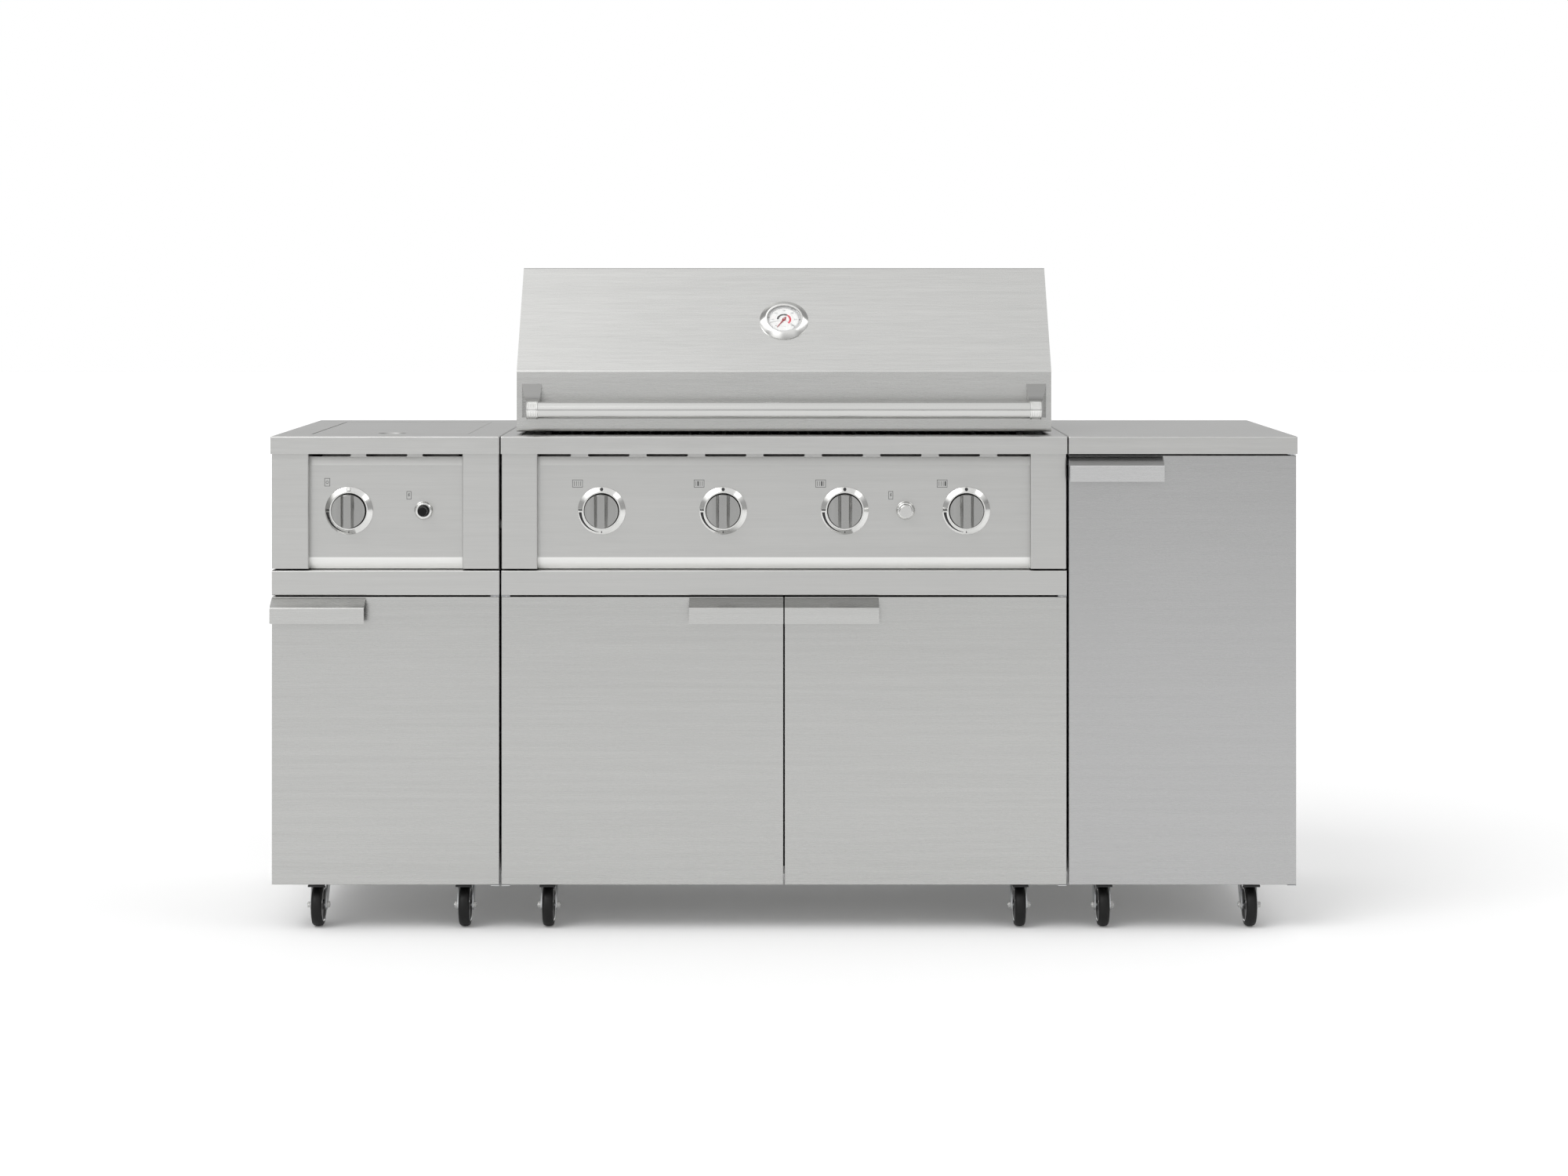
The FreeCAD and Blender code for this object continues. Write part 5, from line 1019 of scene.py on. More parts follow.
def add_bezel_marks():
    """Off mark, tapering arc and flames on each bezel."""
    shape = bmesh.new()
    middle_r = (BEZEL_R + BEZEL_TOP_R) / 2

    def half_width(share):
        return 0.5 * (ARC_WIDE + (ARC_NARROW - ARC_WIDE) * share)

    inner = arc_points(lambda s: middle_r - half_width(s), ARC_START, ARC_END, 40)
    outer = arc_points(lambda s: middle_r + half_width(s), ARC_START, ARC_END, 40)
    for index, centre in enumerate(knob_places):
        place = on_bezel(centre)
        if index == 0:
            for line in frame_lines(2.4 * DOT_R, 2.2 * DOT_R, ICON_LINE):
                add_mark(shape, [(u, v + middle_r) for u, v in line], place, 1)
        else:
            add_mark(shape, circle_outline(0.0, middle_r, DOT_R), place)
        add_band(shape, inner, outer, place, -INK_THICKNESS, INK_THICKNESS)
        for step in (-1, 0, 1):
            left = -middle_r + step * FLAME_WIDTH * 0.8
            add_mark(shape, flame_outline(left, 0.0, FLAME_WIDTH, FLAME_HEIGHT), place)
        low_flame = flame_outline(0.0, -middle_r - 1.2 * MM, FLAME_WIDTH * 0.8, FLAME_HEIGHT)
        add_mark(shape, low_flame, place)
    add_piece("bezel_marks", shape, "island", [ink_and_hole_shade, faint_ink])


def add_icon_frame(shape, place, width, height):
    for line in frame_lines(width, height, ICON_LINE):
        add_mark(shape, line, place, 1)


def add_burner_icon(shape, place, burner):
    """A frame with a stroke for each main burner, bold for the knob's own one except on the first
    main knob.
    """
    add_icon_frame(shape, place, ICON_WIDTH, ICON_HEIGHT)
    for slot in range(4):
        bold = slot == burner and burner > 0
        width = ICON_BAR if bold else ICON_LINE
        across = (slot - 1.5) * ICON_WIDTH / 5.0
        add_mark(shape, bar_outline(across, 0.0, width, 0.6 * ICON_HEIGHT), place, 1 - bold)


def add_side_burner_icon(shape, place):
    add_icon_frame(shape, place, SIDE_ICON_WIDTH, SMALL_ICON_HEIGHT)
    inner, outer = ring_lines(SIDE_ICON_RING_R, ICON_LINE, 0, 360, 24)
    add_band(shape, inner, outer, place, -INK_THICKNESS, INK_THICKNESS, 1)


def add_spark_icon(shape, place):
    add_icon_frame(shape, place, SMALL_ICON_WIDTH, SMALL_ICON_HEIGHT)
    add_mark(shape, [
        (-0.3 * MM, 4.2 * MM), (1.4 * MM, 4.2 * MM), (0.3 * MM, 0.8 * MM),
        (1.8 * MM, 0.8 * MM), (-0.8 * MM, -4.2 * MM), (-0.1 * MM, -0.6 * MM),
        (-1.7 * MM, -0.6 * MM),
    ], place, 1)


def add_panel_marks():
    """A pictogram beside each knob shows which burner it turns, and a spark each igniter."""
    shape = bmesh.new()
    for burner, knob in enumerate(knob_places[1:]):
        place = on_panel(knob + Vector((-ICON_LEFT, 0, ICON_UP)))
        add_burner_icon(shape, place, burner)
    place = on_panel(knob_places[0] + Vector((-SIDE_ICON_LEFT, 0, SIDE_ICON_UP)))
    add_side_burner_icon(shape, place)
    for button in igniter_places:
        place = on_panel(button + Vector((-IGNITER_ICON_LEFT, 0, IGNITER_ICON_UP)))
        add_spark_icon(shape, place)
    add_piece("panel_marks", shape, "island", [ink_and_hole_shade, faint_ink])


# Thermometer

def gauge_axes():
    """The middle of the thermometer's foot on the hood, with its right, up and out."""
    out = Vector(SLOPE_OUT)
    centre = middle("thermometer_lens") - out * (CASE_HEIGHT - LENS_INSET)
    return centre, Vector((1, 0, 0)), Vector(SLOPE_UP), out


def on_dial():
    """Places (right, up, proud) on the dial's plate."""
    centre, right, up, out = gauge_axes()

    def place(u, v, lift):
        return centre + right * u + up * v + out * (DIAL_LEVEL + lift)
    return place


def add_thermometer_bezel():
    centre, _, _, out = gauge_axes()
    shape = bmesh.new()
    add_lathed(shape, [
        (CASE_BORE, 0.0),
        (CASE_R, 0.0),
        (CASE_R, CASE_FOOT),
        (CASE_R - 0.3 * MM, CASE_FOOT + 0.3 * MM),
        (CASE_TOP_R + 0.5 * MM, CASE_HEIGHT - 0.3 * MM),
        (CASE_TOP_R, CASE_HEIGHT),
        (CASE_BORE + 0.4 * MM, CASE_HEIGHT),
        (CASE_BORE, CASE_HEIGHT - 0.5 * MM),
    ], centre, out, 128)
    add_piece(
        "thermometer_bezel", shape, "hood", [bezel_steel], ["thermometer_case"]
    )


def add_thermometer_body():
    """The dial's back plate, the needle's post and the probe inside the hood."""
    centre, _, _, out = gauge_axes()
    shape = bmesh.new()
    add_lathed(shape, [
        (0.0, -PROBE_LENGTH),
        (PROBE_R - 0.8 * MM, -PROBE_LENGTH),
        (PROBE_R, -PROBE_LENGTH + 1.0 * MM),
        (PROBE_R, 0.0),
        (DIAL_R, 0.0),
        (DIAL_R, DIAL_LEVEL),
        (POST_R, DIAL_LEVEL),
        (POST_R, POST_HEIGHT - 0.2 * MM),
        (POST_R - 0.3 * MM, POST_HEIGHT),
        (0.0, POST_HEIGHT),
    ], centre, out, 72)
    add_piece(
        "thermometer_body", shape, "hood", [chrome], ["thermometer_case"]
    )


def add_dial():
    """White dial with a grey rim, a black and a red arc and a thin ring."""
    shape = bmesh.new()
    place = on_dial()
    sheet = dict(low=0.0, high=DIAL_SHEET)
    printed_on = dict(low=DIAL_SHEET, high=DIAL_SHEET + DIAL_PRINT)
    for finish, radius, width, start, end, steps, level in (
        (0, DIAL_FACE_R, DIAL_FACE_WIDTH, 0, 360, 72, sheet),
        (1, DIAL_RIM_R, DIAL_RIM_WIDTH, 0, 360, 72, sheet),
        (1, INNER_RING_R, INNER_RING_WIDTH, 0, 360, 72, printed_on),
        (2, SCALE_ARC_R, SCALE_ARC_WIDTH, 178, 62, 30, printed_on),
        (3, SCALE_ARC_R, SCALE_ARC_WIDTH, 60, -48, 30, printed_on),
    ):
        inner, outer = ring_lines(radius, width, start, end, steps)
        add_band(shape, inner, outer, place, finish=finish, **level)
    add_piece(
        "thermometer_dial", shape, "hood",
        [dial_white, dial_grey, ink_and_hole_shade, dial_red],
    )


def add_dial_ticks():
    """Ticks round the dial, from the lowest number to the highest."""
    centre, _, _, out = gauge_axes()
    shape = bmesh.new()
    place = on_dial()
    start = math.radians(DIAL_START)

    def turned_place(u, v, lift):
        return place(u * math.cos(start) - v * math.sin(start),
                     u * math.sin(start) + v * math.cos(start), lift)

    add_slab(
        shape, bar_outline(TICK_R, 0.0, TICK_LENGTH, TICK_WIDTH), turned_place,
        DIAL_SHEET, DIAL_SHEET + DIAL_PRINT,
    )
    mesh = repeated(
        shape, ring_of_copies, Count=DIAL_TICKS, Centre=centre, Axis=-out,
        Sweep=math.radians(DIAL_SWEEP * DIAL_TICKS / (DIAL_TICKS - 1)), Finish=ink_and_hole_shade,
    )
    add_repeated("thermometer_ticks", [mesh], "hood", [ink_and_hole_shade])


def add_dial_numbers():
    """Plain numbers round the dial."""
    place = on_dial()
    shape = bmesh.new()
    for index in range(DIAL_NUMBERS):
        angle = math.radians(DIAL_START - index * DIAL_SWEEP / (DIAL_NUMBERS - 1))
        words = bpy.data.curves.new("number", "FONT")
        words.body = str(50 * (index + 1))
        words.size = NUMBER_HEIGHT
        words.align_x = "CENTER"
        words.align_y = "CENTER"
        words.resolution_u = 2
        holder = new_object("number", words)
        graph = bpy.context.evaluated_depsgraph_get()
        mesh = bpy.data.meshes.new_from_object(holder.evaluated_get(graph))
        bpy.data.objects.remove(holder)
        before = len(shape.verts)
        shape.from_mesh(mesh)
        shape.verts.ensure_lookup_table()
        for vertex in shape.verts[before:]:
            vertex.co = place(
                vertex.co.x + NUMBER_R * math.cos(angle),
                vertex.co.y + NUMBER_R * math.sin(angle),
                DIAL_SHEET + DIAL_PRINT,
            )
    add_piece("thermometer_numbers", shape, "hood", [ink_and_hole_shade])


# Hood handle

def collar_places():
    """The inner end of each collar on the handle's axis, with its outward direction."""
    bar = middle("hood_handle_bar")
    inner_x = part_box("hood_handle_bar")[1].x - COLLAR_BORE
    return [(Vector((side * inner_x, bar.y, bar.z)), side) for side in (-1, 1)]


def between(start, end, share):
    return start + (end - start) * share


def bracket_section(collar, side, share):
    """The corners of a bracket's cross-section, this share of the way to its collar."""
    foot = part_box("hood_handle_brackets")[1]
    tip_top = collar.z + BRACKET_END_HEIGHT / 2
    tip_bottom = collar.z - BRACKET_END_HEIGHT / 2
    foot_x = side * (foot.x - BRACKET_WIDTH / 2)
    x = between(foot_x, collar.x + side * COLLAR_LENGTH / 2, share)
    y = between(foot.y, collar.y + COLLAR_R / 3, share)
    half = between(BRACKET_WIDTH, BRACKET_END_WIDTH, share) / 2
    top = tip_top + (foot.z - tip_top) * (1 - share) ** 2
    bottom = between(foot.z - BRACKET_HEIGHT, tip_bottom, share)
    return [
        (x - half, y, bottom), (x + half, y, bottom), (x + half, y, top), (x - half, y, top)
    ]


def add_handle_brackets():
    """Brackets that narrow from the hood to the collars, hollowed along their upper side."""
    shape = bmesh.new()
    for collar, side in collar_places():
        sections = [
            [shape.verts.new(corner) for corner in bracket_section(collar, side, share)]
            for share in (step / BRACKET_STEPS for step in range(BRACKET_STEPS + 1))
        ]
        for a, b in zip(sections, sections[1:]):
            for i in range(4):
                j = (i + 1) % 4
                shape.faces.new([a[i], a[j], b[j], b[i]])
        shape.faces.new(sections[0])
        shape.faces.new(sections[-1])
    sharp = [edge for edge in shape.edges if edge.calc_face_angle(0.0) > math.radians(40)]
    round_edges(shape, sharp, 0.5 * MM)
    add_piece(
        "handle_brackets", shape, "hood", [bracket_steel],
        ["hood_handle_brackets"],
    )


def add_handle_collars():
    """Turned collars over the handle's ends, with a raised lip each side of a knurled band."""
    shape = bmesh.new()
    meshes = []
    lip = 2.4 * MM
    groove = 2.9 * MM
    for collar, side in collar_places():
        add_lathed(shape, [
            (0.0, COLLAR_BORE + 0.2 * MM),
            (COLLAR_BORE_R, COLLAR_BORE + 0.2 * MM),
            (COLLAR_BORE_R, 0.0),
            (COLLAR_R - 0.6 * MM, 0.0),
            (COLLAR_R, 0.6 * MM),
            (COLLAR_R, lip),
            (COLLAR_BED_R, groove),
            (COLLAR_BED_R, COLLAR_LENGTH - groove),
            (COLLAR_R, COLLAR_LENGTH - lip),
            (COLLAR_R, COLLAR_LENGTH - 0.8 * MM),
            (COLLAR_R - 0.8 * MM, COLLAR_LENGTH),
            (0.0, COLLAR_LENGTH),
        ], collar, (side, 0, 0), 96)
        for row in range(COLLAR_ROWS):
            inset = groove + (row + 0.5) * (COLLAR_LENGTH - 2 * groove) / COLLAR_ROWS
            centre = collar + Vector((side * inset, 0, 0))
            bead = bmesh.new()
            bmesh.ops.create_icosphere(
                bead, subdivisions=1, radius=BEAD_R,
                matrix=Matrix.Translation(centre + Vector((0, 0, COLLAR_BED_R))),
            )
            meshes.append(repeated(
                bead, ring_of_copies, Count=COLLAR_BEADS, Centre=centre, Axis=(1, 0, 0),
                Sweep=2 * math.pi, Finish=handle_steel,
            ))
    add_piece(
        "handle_collars", shape, "hood", [bezel_steel], ["hood_handle_brackets"]
    )
    add_repeated("handle_collar_beads", meshes, "hood", [handle_steel])


# Cooking grates and burners

def add_grates():
    """Cast grates: tapered bars with round tops, tied front, middle and back."""
    low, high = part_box("cooking_grates")
    bar = 8.0 * MM
    count = 11
    grates = 4
    gap = 2.0 * MM
    pitch_grate = (high.x - low.x + gap) / grates
    width = pitch_grate - gap
    step = (width - bar) / (count - 1)
    profile = [
        (0.15 * bar, low.z), (0.85 * bar, low.z), (bar, low.z + 3.0 * MM),
        (bar, high.z - 2.5 * MM), (0.75 * bar, high.z - 0.6 * MM), (0.5 * bar, high.z),
        (0.25 * bar, high.z - 0.6 * MM), (0.0, high.z - 2.5 * MM), (0.0, low.z + 3.0 * MM),
    ]
    meshes = []
    for grate in range(grates):
        x0 = low.x + grate * pitch_grate
        shape = bmesh.new()
        add_slab(
            shape, profile, lambda u, v, y: Vector((x0 + u, y, v)), low.y, high.y
        )
        meshes.append(repeated(
            shape, row_of_copies, Count=count, Step=(step, 0.0, 0.0), Finish=cast_iron
        ))
        ties = rounded_block(
            (x0 + 0.4 * MM, low.y + 0.3 * MM, low.z + 0.3 * MM),
            (x0 + width - 0.4 * MM, low.y + bar, high.z - 2.2 * MM), 1.0 * MM,
        )
        meshes.append(repeated(
            ties, row_of_copies, Count=3, Step=(0.0, (high.y - low.y - bar - 0.3 * MM) / 2, 0.0),
            Finish=cast_iron,
        ))
    add_repeated("cast_grates", meshes, "island", [cast_iron], ["cooking_grates"])


def add_burner_ports():
    """Two rows of ports along every burner tube, drawn as black discs: painted shade in the
    holes.
    """
    low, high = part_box("main_burners")
    lean = math.radians(PORT_LEAN)
    meshes = []
    for centre in knob_places[1:]:
        axis = Vector((centre.x, low.y + PORT_START, (low.z + high.z) / 2))
        for side in (-1, 1):
            shape = bmesh.new()
            out = Vector((side * math.cos(lean), 0, math.sin(lean)))
            # A thin black disc on the tube: painted shade where the port hole is
            add_lathed(shape, [
                (0.0, 0.0), (PORT_R, 0.0), (PORT_R, 0.2 * MM), (0.0, 0.2 * MM),
            ], axis + out * (TUBE_R - 0.1 * MM), out, 10)
            meshes.append(repeated(
                shape, row_of_copies, Count=PORT_COUNT, Step=(0.0, PORT_PITCH, 0.0), Finish=ink_and_hole_shade
            ))
    add_repeated("burner_ports", meshes, "island", [ink_and_hole_shade])


def add_side_burner_cap():
    """A stepped cap over the side burner's head, with a ring of ports round it, drawn as black
    blocks: painted shade in the openings.
    """
    grate = middle("side_burner_grate")
    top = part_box("side_burner_head")[1].z
    shape = bmesh.new()
    add_lathed(shape, [
        (0.0, top - 0.5 * MM),
        (CAP_R, top - 0.5 * MM),
        (CAP_R + 0.6 * MM, top + 0.4 * MM),
        (CAP_R - 0.4 * MM, top + 2.0 * MM),
        (34.0 * MM, top + 3.2 * MM),
        (30.0 * MM, top + 2.2 * MM),
        (12.0 * MM, top + 2.6 * MM),
        (0.0, top + 2.8 * MM),
    ], (grate.x, grate.y, 0.0), (0, 0, 1), 96)
    add_piece("side_burner_cap", shape, "island", [cast_iron])
    centre = Vector((grate.x, grate.y, top - 6.0 * MM))
    # A black block at each port: painted shade in the opening
    port = rounded_block(
        centre + Vector((CAP_R - 1.4 * MM, -1.0 * MM, -3.0 * MM)),
        centre + Vector((CAP_R - 0.7 * MM, 1.0 * MM, 3.0 * MM)), 0.2 * MM, segments=1,
    )
    mesh = repeated(
        port, ring_of_copies, Count=CAP_PORTS, Centre=centre, Axis=(0, 0, 1),
        Sweep=2 * math.pi, Finish=ink_and_hole_shade,
    )
    add_repeated("side_burner_ports", [mesh], "island", [ink_and_hole_shade])


# Fasteners

def solid_boxes(node):
    """The box of each solid of a node, as its lowest and highest corner."""
    shape = bmesh.new()
    shape.from_mesh(nodes[node].data)
    bmesh.ops.remove_doubles(shape, verts=shape.verts, dist=1e-6)
    boxes = []
    seen = set()
    for start in shape.verts:
        if start in seen:
            continue
        seen.add(start)
        reached = [start]
        for vertex in reached:
            for edge in vertex.link_edges:
                other = edge.other_vert(vertex)
                if other not in seen:
                    seen.add(other)
                    reached.append(other)
        low = Vector(min(v.co[i] for v in reached) for i in range(3))
        high = Vector(max(v.co[i] for v in reached) for i in range(3))
        boxes.append((low, high))
    shape.free()
    return boxes


def hex_prism(radius, height):
    """A hexagon along Z with its upper corners turned off."""
    raw = bmesh.new()
    hexagon = circle_outline(0.0, 0.0, radius, 6)
    add_slab(raw, hexagon, lambda u, v, z: Vector((u, v, z)), 0.0, height)
    upper = [edge for edge in raw.edges if all(v.co.z > height / 2 for v in edge.verts)]
    round_edges(raw, upper, HEX_ROUND)
    # Faces added to a rounded shape come in a different order each run, so this is a copy
    shape = bmesh.new()
    shape.from_mesh(mesh_of("hexagon", raw))
    return shape


def cross_screw(radius, height):
    """A round screw head along Z with a cross recess."""
    shape = bmesh.new()
    crown = 0.8 * height
    steps = 24
    rings = []
    for share, level in ((1.0, 0.0), (1.0, 0.3), (0.94, 0.62), (0.8, 1.0)):
        outline = circle_outline(0.0, 0.0, share * radius, steps)
        rings.append([shape.verts.new((u, v, level * crown)) for u, v in outline])
    for lower, upper in zip(rings, rings[1:]):
        for i in range(steps):
            j = (i + 1) % steps
            shape.faces.new([lower[i], lower[j], upper[j], upper[i]])
    shape.faces.new(rings[0][::-1])
    arm = CROSS_ARM * radius
    half = CROSS_WIDTH * radius
    quarter = [(arm, -half), (arm, half), (half, half)]
    cross = []
    for turn in range(4):
        angle = math.pi / 2 * turn
        for u, v in quarter:
            cross.append((u * math.cos(angle) - v * math.sin(angle),
                          u * math.sin(angle) + v * math.cos(angle)))
    lip = [shape.verts.new((u, v, height)) for u, v in cross]
    foot = [shape.verts.new((0.7 * u, 0.7 * v, 0.2 * height)) for u, v in cross]
    for i in range(len(cross)):
        j = (i + 1) % len(cross)
        shape.faces.new([lip[j], lip[i], foot[i], foot[j]])
    shape.faces.new(foot)
    borders = [shape.edges.get((ring[i - 1], ring[i])) for ring in (rings[-1], lip)
               for i in range(len(ring))]
    bmesh.ops.triangle_fill(shape, edges=borders, use_beauty=True)
    return shape


def washer_and_bolt(radius, height):
    """A hexagon bolt head along Z on its washer."""
    shape = hex_prism(radius, height)
    add_lathed(shape, [
        (0.0, -0.1 * MM), (1.12 * radius, -0.1 * MM), (1.2 * radius, 0.1 * MM),
        (1.2 * radius, 0.7 * MM), (1.14 * radius, 0.9 * MM), (0.0, 0.9 * MM),
    ], (0, 0, 0), (0, 0, 1), 32)
    return shape


def bumper(radius, height):
    """A rubber bumper along Z, wide at its foot and narrower above."""
    shape = bmesh.new()
    add_lathed(shape, [
        (0.0, 0.0), (radius, 0.0), (radius, 0.45 * height), (0.86 * radius, 0.5 * height),
        (0.86 * radius, 0.86 * height), (0.7 * radius, height), (0.0, height),
    ], (0, 0, 0), (0, 0, 1), 32)
    return shape


def standing_on(fastener, direction):
    """The fastener turned so that its Z points in a direction, as an object."""
    turn = Vector(direction).to_track_quat("Z", "Y").to_matrix()
    bmesh.ops.rotate(fastener, verts=fastener.verts, matrix=turn)
    bmesh.ops.recalc_face_normals(fastener, faces=fastener.faces)
    return new_object("fastener", mesh_of("fastener", fastener))


def fastener_copies(fastener, feet, finish):
    """The mesh of one fastener at each foot; the fastener itself is used up."""
    points = bmesh.new()
    for foot in feet:
        points.verts.new(foot)
    mesh = repeated(points, copies_at_points, Fastener=fastener, Finish=finish)
    bpy.data.objects.remove(fastener)
    return mesh


def sorted_fasteners():
    """The boxes of the CAD's fasteners by kind, told apart by their proportions."""
    kinds = {"bolts": [], "spacers": [], "back": [], "floor": [], "bumpers": []}
    for low, high in solid_boxes("bumpers_and_screws"):
        size = high - low
        if abs(size.y - size.z) < 0.1 * MM:
            kind = "bolts" if size.x > size.y else "spacers"
        elif abs(size.x - size.z) < 0.1 * MM:
            kind = "back"
        elif size.z > size.x / 2:
            kind = "bumpers"
        else:
            kind = "floor"
        kinds[kind].append((low, high))
    return kinds


def head_feet(boxes, axis, side, height):
    """Where heads of this height start, when they end at their boxes' faces on that side."""
    feet = []
    for low, high in boxes:
        place = (low + high) / 2
        place[axis] = high[axis] - height if side > 0 else low[axis] + height
        feet.append(place)
    return feet


def spacer_rings(boxes):
    """Rings with softened rims between the cabinets."""
    rings = bmesh.new()
    for low, high in boxes:
        radius = (high.y - low.y) / 2
        half = (high.x - low.x) / 2
        add_lathed(rings, mirrored([
            (SPACER_BORE_R, -half), (radius - SPACER_ROUND, -half),
            (radius, SPACER_ROUND - half),
        ]), (low + high) / 2, (1, 0, 0), 32)
    return mesh_of("spacers", rings)


def add_fasteners():
    """Seam bolts, screws in the back and in the floors, and the hood's two bumpers."""
    boxes = sorted_fasteners()
    sizes = {kind: found[0][1] - found[0][0] for kind, found in boxes.items()}
    meshes = []
    for side in (-1, 1):
        meshes.append(fastener_copies(
            standing_on(washer_and_bolt(sizes["bolts"].y / 2, BOLT_HEAD), (side, 0, 0)),
            head_feet(boxes["bolts"], 0, side, BOLT_HEAD), screw_steel,
        ))
    for kind, axis, direction in (("back", 1, (0, 1, 0)), ("floor", 2, (0, 0, 1))):
        height = sizes[kind][axis]
        meshes.append(fastener_copies(
            standing_on(cross_screw(sizes[kind].x / 2, height), direction),
            head_feet(boxes[kind], axis, 1, height), screw_steel,
        ))
    meshes.append(spacer_rings(boxes["spacers"]))
    height = sizes["bumpers"].z
    meshes.append(fastener_copies(
        standing_on(bumper(sizes["bumpers"].x / 2, height), (0, 0, 1)),
        head_feet(boxes["bumpers"], 2, 1, height), black_rubber,
    ))
    finishes = [screw_steel] * (len(meshes) - 1) + [black_rubber]
    add_repeated(
        "bolts_screws_and_bumpers", meshes, "island", finishes,
        ["bumpers_and_screws"],
    )


# Casters

def add_wheel(node, body):
    """A rubber tyre on a plastic hub, with a bright ring pressed into each side."""
    low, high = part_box(node)
    centre = middle(node)
    radius = (high.z - low.z) / 2
    half = (high.x - low.x) / 2
    tyre = bmesh.new()
    rim = radius - TYRE_DEPTH
    add_lathed(tyre, mirrored([
        (rim, -half + 1.2 * MM),
        (radius - 6.0 * MM, -half + 0.2 * MM),
        (radius - 3.2 * MM, -half + 0.9 * MM),
        (radius - 1.2 * MM, -half + 2.8 * MM),
        (radius - 0.3 * MM, -half + 6.0 * MM),
        (radius, 0.0),
    ]), centre, (1, 0, 0), 96)
    add_piece(node + "_tyre", tyre, body, [black_rubber], [node])
    hub = bmesh.new()
    add_lathed(hub, mirrored([
        (AXLE_BORE_R, -half),
        (BOSS_R, -half),
        (BOSS_R + 1.0 * MM, -half + 3.0 * MM),
        (HUB_DISH_R, -half + 3.4 * MM),
        (rim + 0.2 * MM, -half + 1.0 * MM),
    ]), centre, (1, 0, 0), 72)
    add_piece(node + "_hub", hub, body, [hub_plastic])
    ring = bmesh.new()
    for side in (-1, 1):
        seat = centre + Vector((side * (half - 1.0 * MM), 0, 0))
        add_lathed(ring, [
            (rim - 1.6 * MM, -0.6 * MM),
            (rim + 0.8 * MM, -0.6 * MM),
            (rim + 0.8 * MM, 0.5 * MM),
            (rim, 0.9 * MM),
            (rim - 1.2 * MM, 0.4 * MM),
            (rim - 1.6 * MM, 0.0),
        ], seat, (side, 0, 0), 72)
    add_piece(node + "_ring", ring, body, [chrome])


def add_pedal(name):
    """The brake pedal's black moulded cover, with ribs across its tread."""
    wheel = middle("front_wheel_" + name)
    low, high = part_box("front_wheel_" + name)
    tip_y = low.y - 0.8 * MM
    cover = mesh_of("cover", rounded_block(
        (wheel.x - PEDAL_HALF, tip_y, high.z + 0.35 * MM),
        (wheel.x + PEDAL_HALF, wheel.y + 1.0 * MM, high.z + 3.9 * MM), 0.6 * MM,
    ))
    rib = rounded_block(
        (wheel.x - PEDAL_HALF + 1.5 * MM, tip_y + 1.6 * MM, high.z + 3.6 * MM),
        (wheel.x + PEDAL_HALF - 1.5 * MM, tip_y + 3.2 * MM, high.z + 4.5 * MM), 0.3 * MM,
        segments=1,
    )
    ribs = repeated(
        rib, row_of_copies, Count=PEDAL_RIBS, Step=(0.0, PEDAL_RIB_PITCH, 0.0),
        Finish=black_plastic,
    )
    add_repeated(
        "brake_pedal_" + name, [cover, ribs], "caster_fork_" + name,
        [black_plastic],
    )


def add_axle_nuts(name_of_piece, body, centres):
    """A hexagon nut on each end of an axle, the left ones turned to face left."""
    meshes = []
    for side in (-1, 1):
        nut = hex_prism(NUT_R, NUT_HEIGHT)
        add_lathed(nut, [
            (0.0, NUT_HEIGHT), (2.8 * MM, NUT_HEIGHT), (2.6 * MM, NUT_HEIGHT + 0.7 * MM),
            (0.0, NUT_HEIGHT + 0.9 * MM),
        ], (0, 0, 0), (0, 0, 1), 20)
        meshes.append(fastener_copies(
            standing_on(nut, (side, 0, 0)),
            [centre + Vector((side * FORK_HALF, 0, 0)) for centre in centres], screw_steel,
        ))
    add_repeated(name_of_piece, meshes, body, [screw_steel])


def add_casters():
    names = [
        name.removeprefix("front_wheel_") for name in nodes if name.startswith("front_wheel_")
    ]
    for name in names:
        add_wheel("front_wheel_" + name, "front_wheel_" + name)
        add_wheel("rear_wheel_" + name, "rear_wheel_" + name)
        add_pedal(name)
        add_axle_nuts(
            "front_axle_nuts_" + name, "caster_fork_" + name, [middle("front_wheel_" + name)]
        )
    add_axle_nuts(
        "rear_axle_nuts", "island", [middle("rear_wheel_" + name) for name in names]
    )


# Studio and view

def add_floor():
    """A white floor with a faint glow of its own, which grows far from the island."""
    mesh = bpy.data.meshes.new("floor")
    h = FLOOR_HALF
    mesh.from_pydata([(-h, -h, 0), (h, -h, 0), (h, h, 0), (-h, h, 0)], [], [(0, 1, 2, 3)])
    floor = new_object("floor", mesh)
    material = bpy.data.materials.new("floor_white")
    material.use_nodes = True
    tree = Tree(material.node_tree)
    output = material.node_tree.nodes["Material Output"]
    material.node_tree.nodes.remove(material.node_tree.nodes["Principled BSDF"])
    white = (FLOOR_WHITE, FLOOR_WHITE, FLOOR_WHITE, 1)
    paint = tree.add("ShaderNodeBsdfDiffuse", {"Color": white})
    path = tree.add("ShaderNodeLightPath")
    away = tree.vector("LENGTH", tree.add("ShaderNodeTexCoord").outputs["Object"])
    far = tree.ramp(away, GLOW_NEAR, GLOW_FAR, FLOOR_GLOW, FAR_GLOW)
    seen = tree.math("MULTIPLY", path.outputs["Is Camera Ray"], far)
    seen = tree.math("MULTIPLY_ADD", path.outputs["Is Glossy Ray"], FLOOR_GLOW, seen)
    glow = tree.add("ShaderNodeEmission", {"Strength": seen})
    both = tree.add("ShaderNodeAddShader", {0: paint.outputs[0], 1: glow.outputs[0]})
    tree.feed(output.inputs["Surface"], both.outputs[0])
    mesh.materials.append(material)


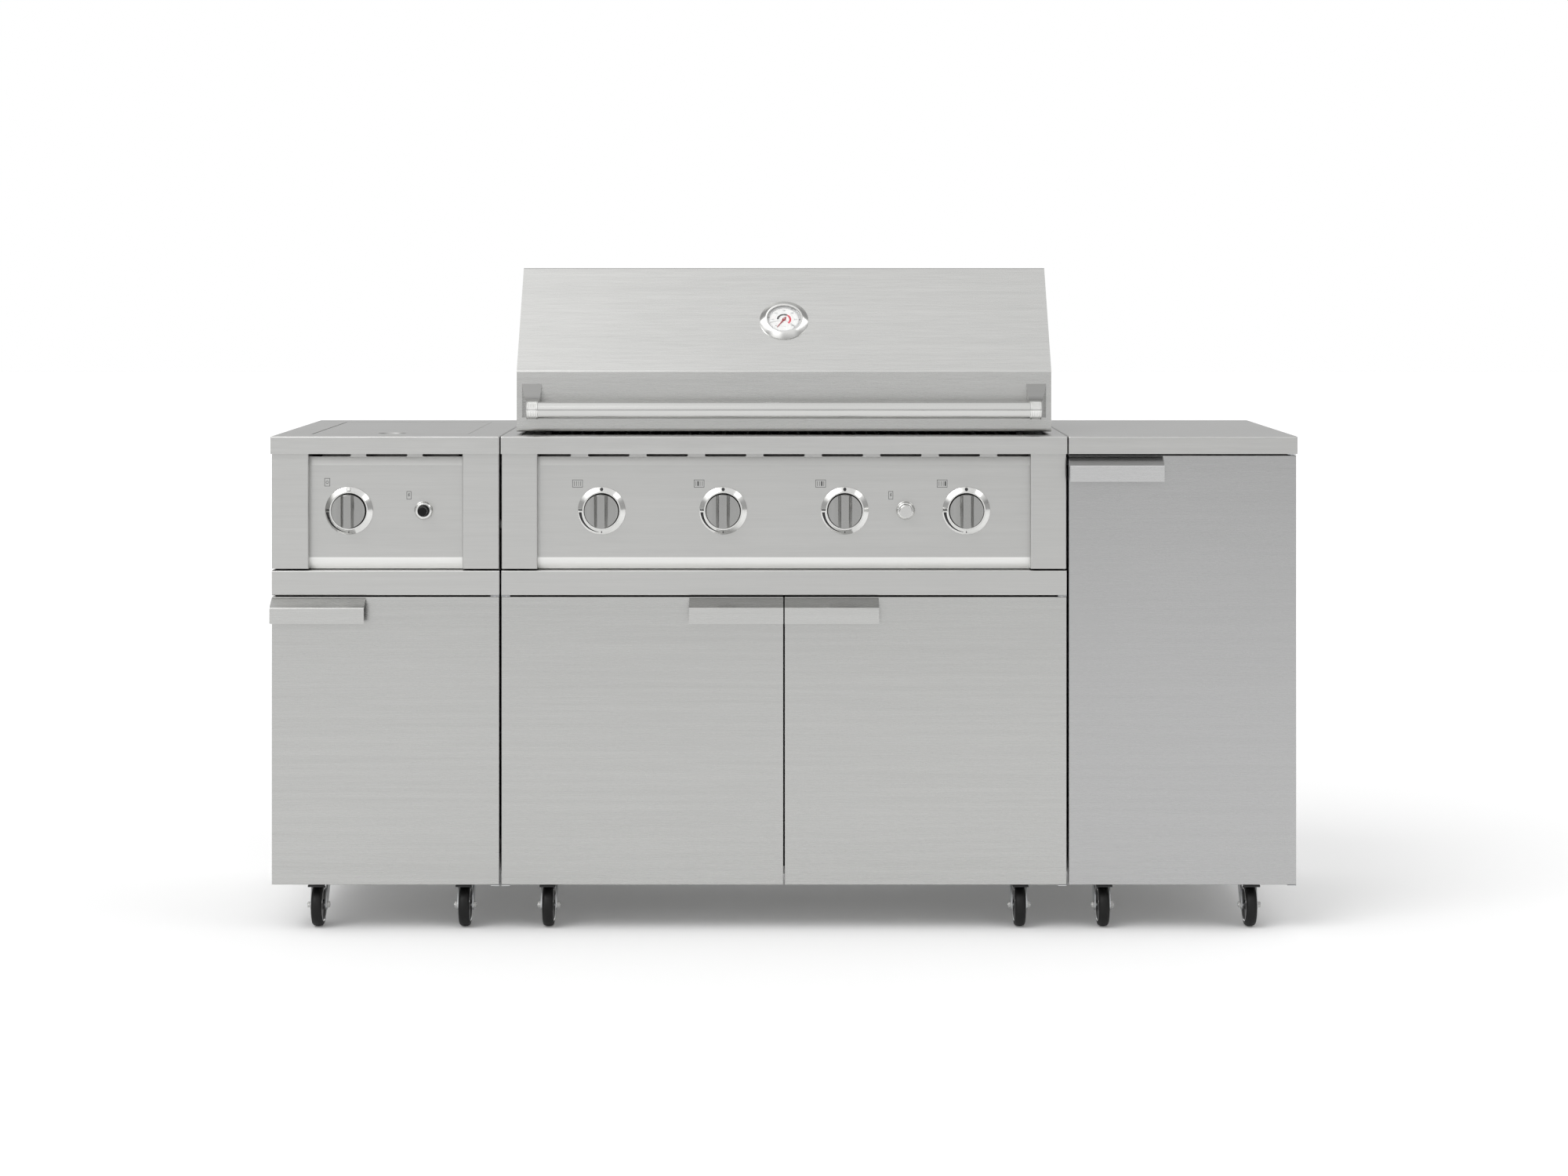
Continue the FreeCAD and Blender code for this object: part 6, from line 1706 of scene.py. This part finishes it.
def make_world():
    """White where the camera looks past the floor; a soft room for light and reflections."""
    world = bpy.data.worlds.new("studio")
    world.use_nodes = True
    scene.world = world
    tree = Tree(world.node_tree)
    back = world.node_tree.nodes["Background"]
    path = tree.add("ShaderNodeLightPath")
    way = tree.add("ShaderNodeTexCoord").outputs["Generated"]
    part = tree.add("ShaderNodeSeparateXYZ", {"Vector": way}).outputs
    front = tree.ramp(part["Z"], 0.0, 0.4, FRONT_LOW, FRONT_HIGH)
    leftward = tree.ramp(part["X"], 0.0, -0.3, 1.0, LEFT_GAIN)
    front = tree.math("MULTIPLY", front, leftward)
    behind = tree.ramp(part["Z"], 0.05, 0.4, BACK_LOW, BACK_HIGH)
    ahead = tree.ramp(part["Y"], 0.15, -0.45)
    overhead = tree.ramp(part["Z"], 0.72, 0.97)
    seen_front = tree.math("MAXIMUM", ahead, overhead)
    level = tree.mix(seen_front, behind, front)
    sideways = tree.ramp(tree.math("ABSOLUTE", part["X"]), 0.45, 0.75)
    low_side = tree.math("MULTIPLY", sideways, tree.ramp(part["Z"], 0.6, 0.3))
    mirrored = tree.mix(low_side, level, SIDE_LOW)
    open_sky = tree.ramp(part["Z"], 0.0, 0.3, SKY_HORIZON, SKY_OPEN)
    open_light = tree.mix(path.outputs["Is Glossy Ray"], open_sky, mirrored)
    white = tree.math(
        "MAXIMUM", path.outputs["Is Camera Ray"], path.outputs["Is Transmission Ray"]
    )
    strength = tree.mix(white, open_light, 1.0)
    back.inputs["Color"].default_value = (1, 1, 1, 1)
    tree.feed(back.inputs["Strength"], strength)


def add_softbox(side):
    """A long softbox on one side, aimed straight across at the island."""
    lamp = bpy.data.lights.new("softbox", "AREA")
    lamp.shape = "RECTANGLE"
    lamp.size = SOFTBOX_LENGTH
    lamp.size_y = SOFTBOX_WIDTH
    lamp.energy = SOFTBOX_POWER
    holder = new_object("softbox", lamp)
    holder.location = (side * SOFTBOX_ASIDE, -SOFTBOX_AHEAD, SOFTBOX_UP)
    aim = Vector((0, -SOFTBOX_AHEAD, SOFTBOX_AIM_UP)) - holder.location
    holder.rotation_euler = aim.to_track_quat("-Z", "Y").to_euler()


def add_lamps():
    """A broad key from the upper left, and a softbox high on each side."""
    key = bpy.data.lights.new("key", "SUN")
    key.energy = KEY_STRENGTH
    key.angle = math.radians(KEY_ANGLE)
    holder = new_object("key", key)
    holder.rotation_euler = Vector(KEY_FROM).to_track_quat("Z", "Y").to_euler()
    for side in (-1, 1):
        add_softbox(side)


def add_camera():
    """The photograph's view: level, from the front, shifted to put the horizon in its row."""
    lens = bpy.data.cameras.new("camera")
    camera = new_object("camera", lens)
    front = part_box("centre_worktop")[0].y
    camera.location = (0.0, front - EYE_DISTANCE, EYE_HEIGHT)
    camera.rotation_euler = (math.radians(90), 0.0, 0.0)
    lens.sensor_width = SENSOR_WIDTH
    lens.lens = SENSOR_WIDTH * PIXELS_PER_METRE * EYE_DISTANCE / PHOTO_WIDTH
    lens.shift_y = (HORIZON_ROW - PHOTO_HEIGHT / 2) / PHOTO_WIDTH
    lens.clip_end = 100.0
    scene.camera = camera


def main():
    scene.view_settings.view_transform = "Standard"
    add_camera()
    dress_nodes()
    add_knob_bezels()
    add_knob_gap_shade()
    add_igniter_bezels()
    add_bezel_marks()
    add_panel_marks()
    add_thermometer_bezel()
    add_thermometer_body()
    add_dial()
    add_dial_ticks()
    add_dial_numbers()
    add_handle_brackets()
    add_handle_collars()
    add_grates()
    add_burner_ports()
    add_side_burner_cap()
    add_fasteners()
    add_casters()
    add_floor()
    make_world()
    add_lamps()


main()
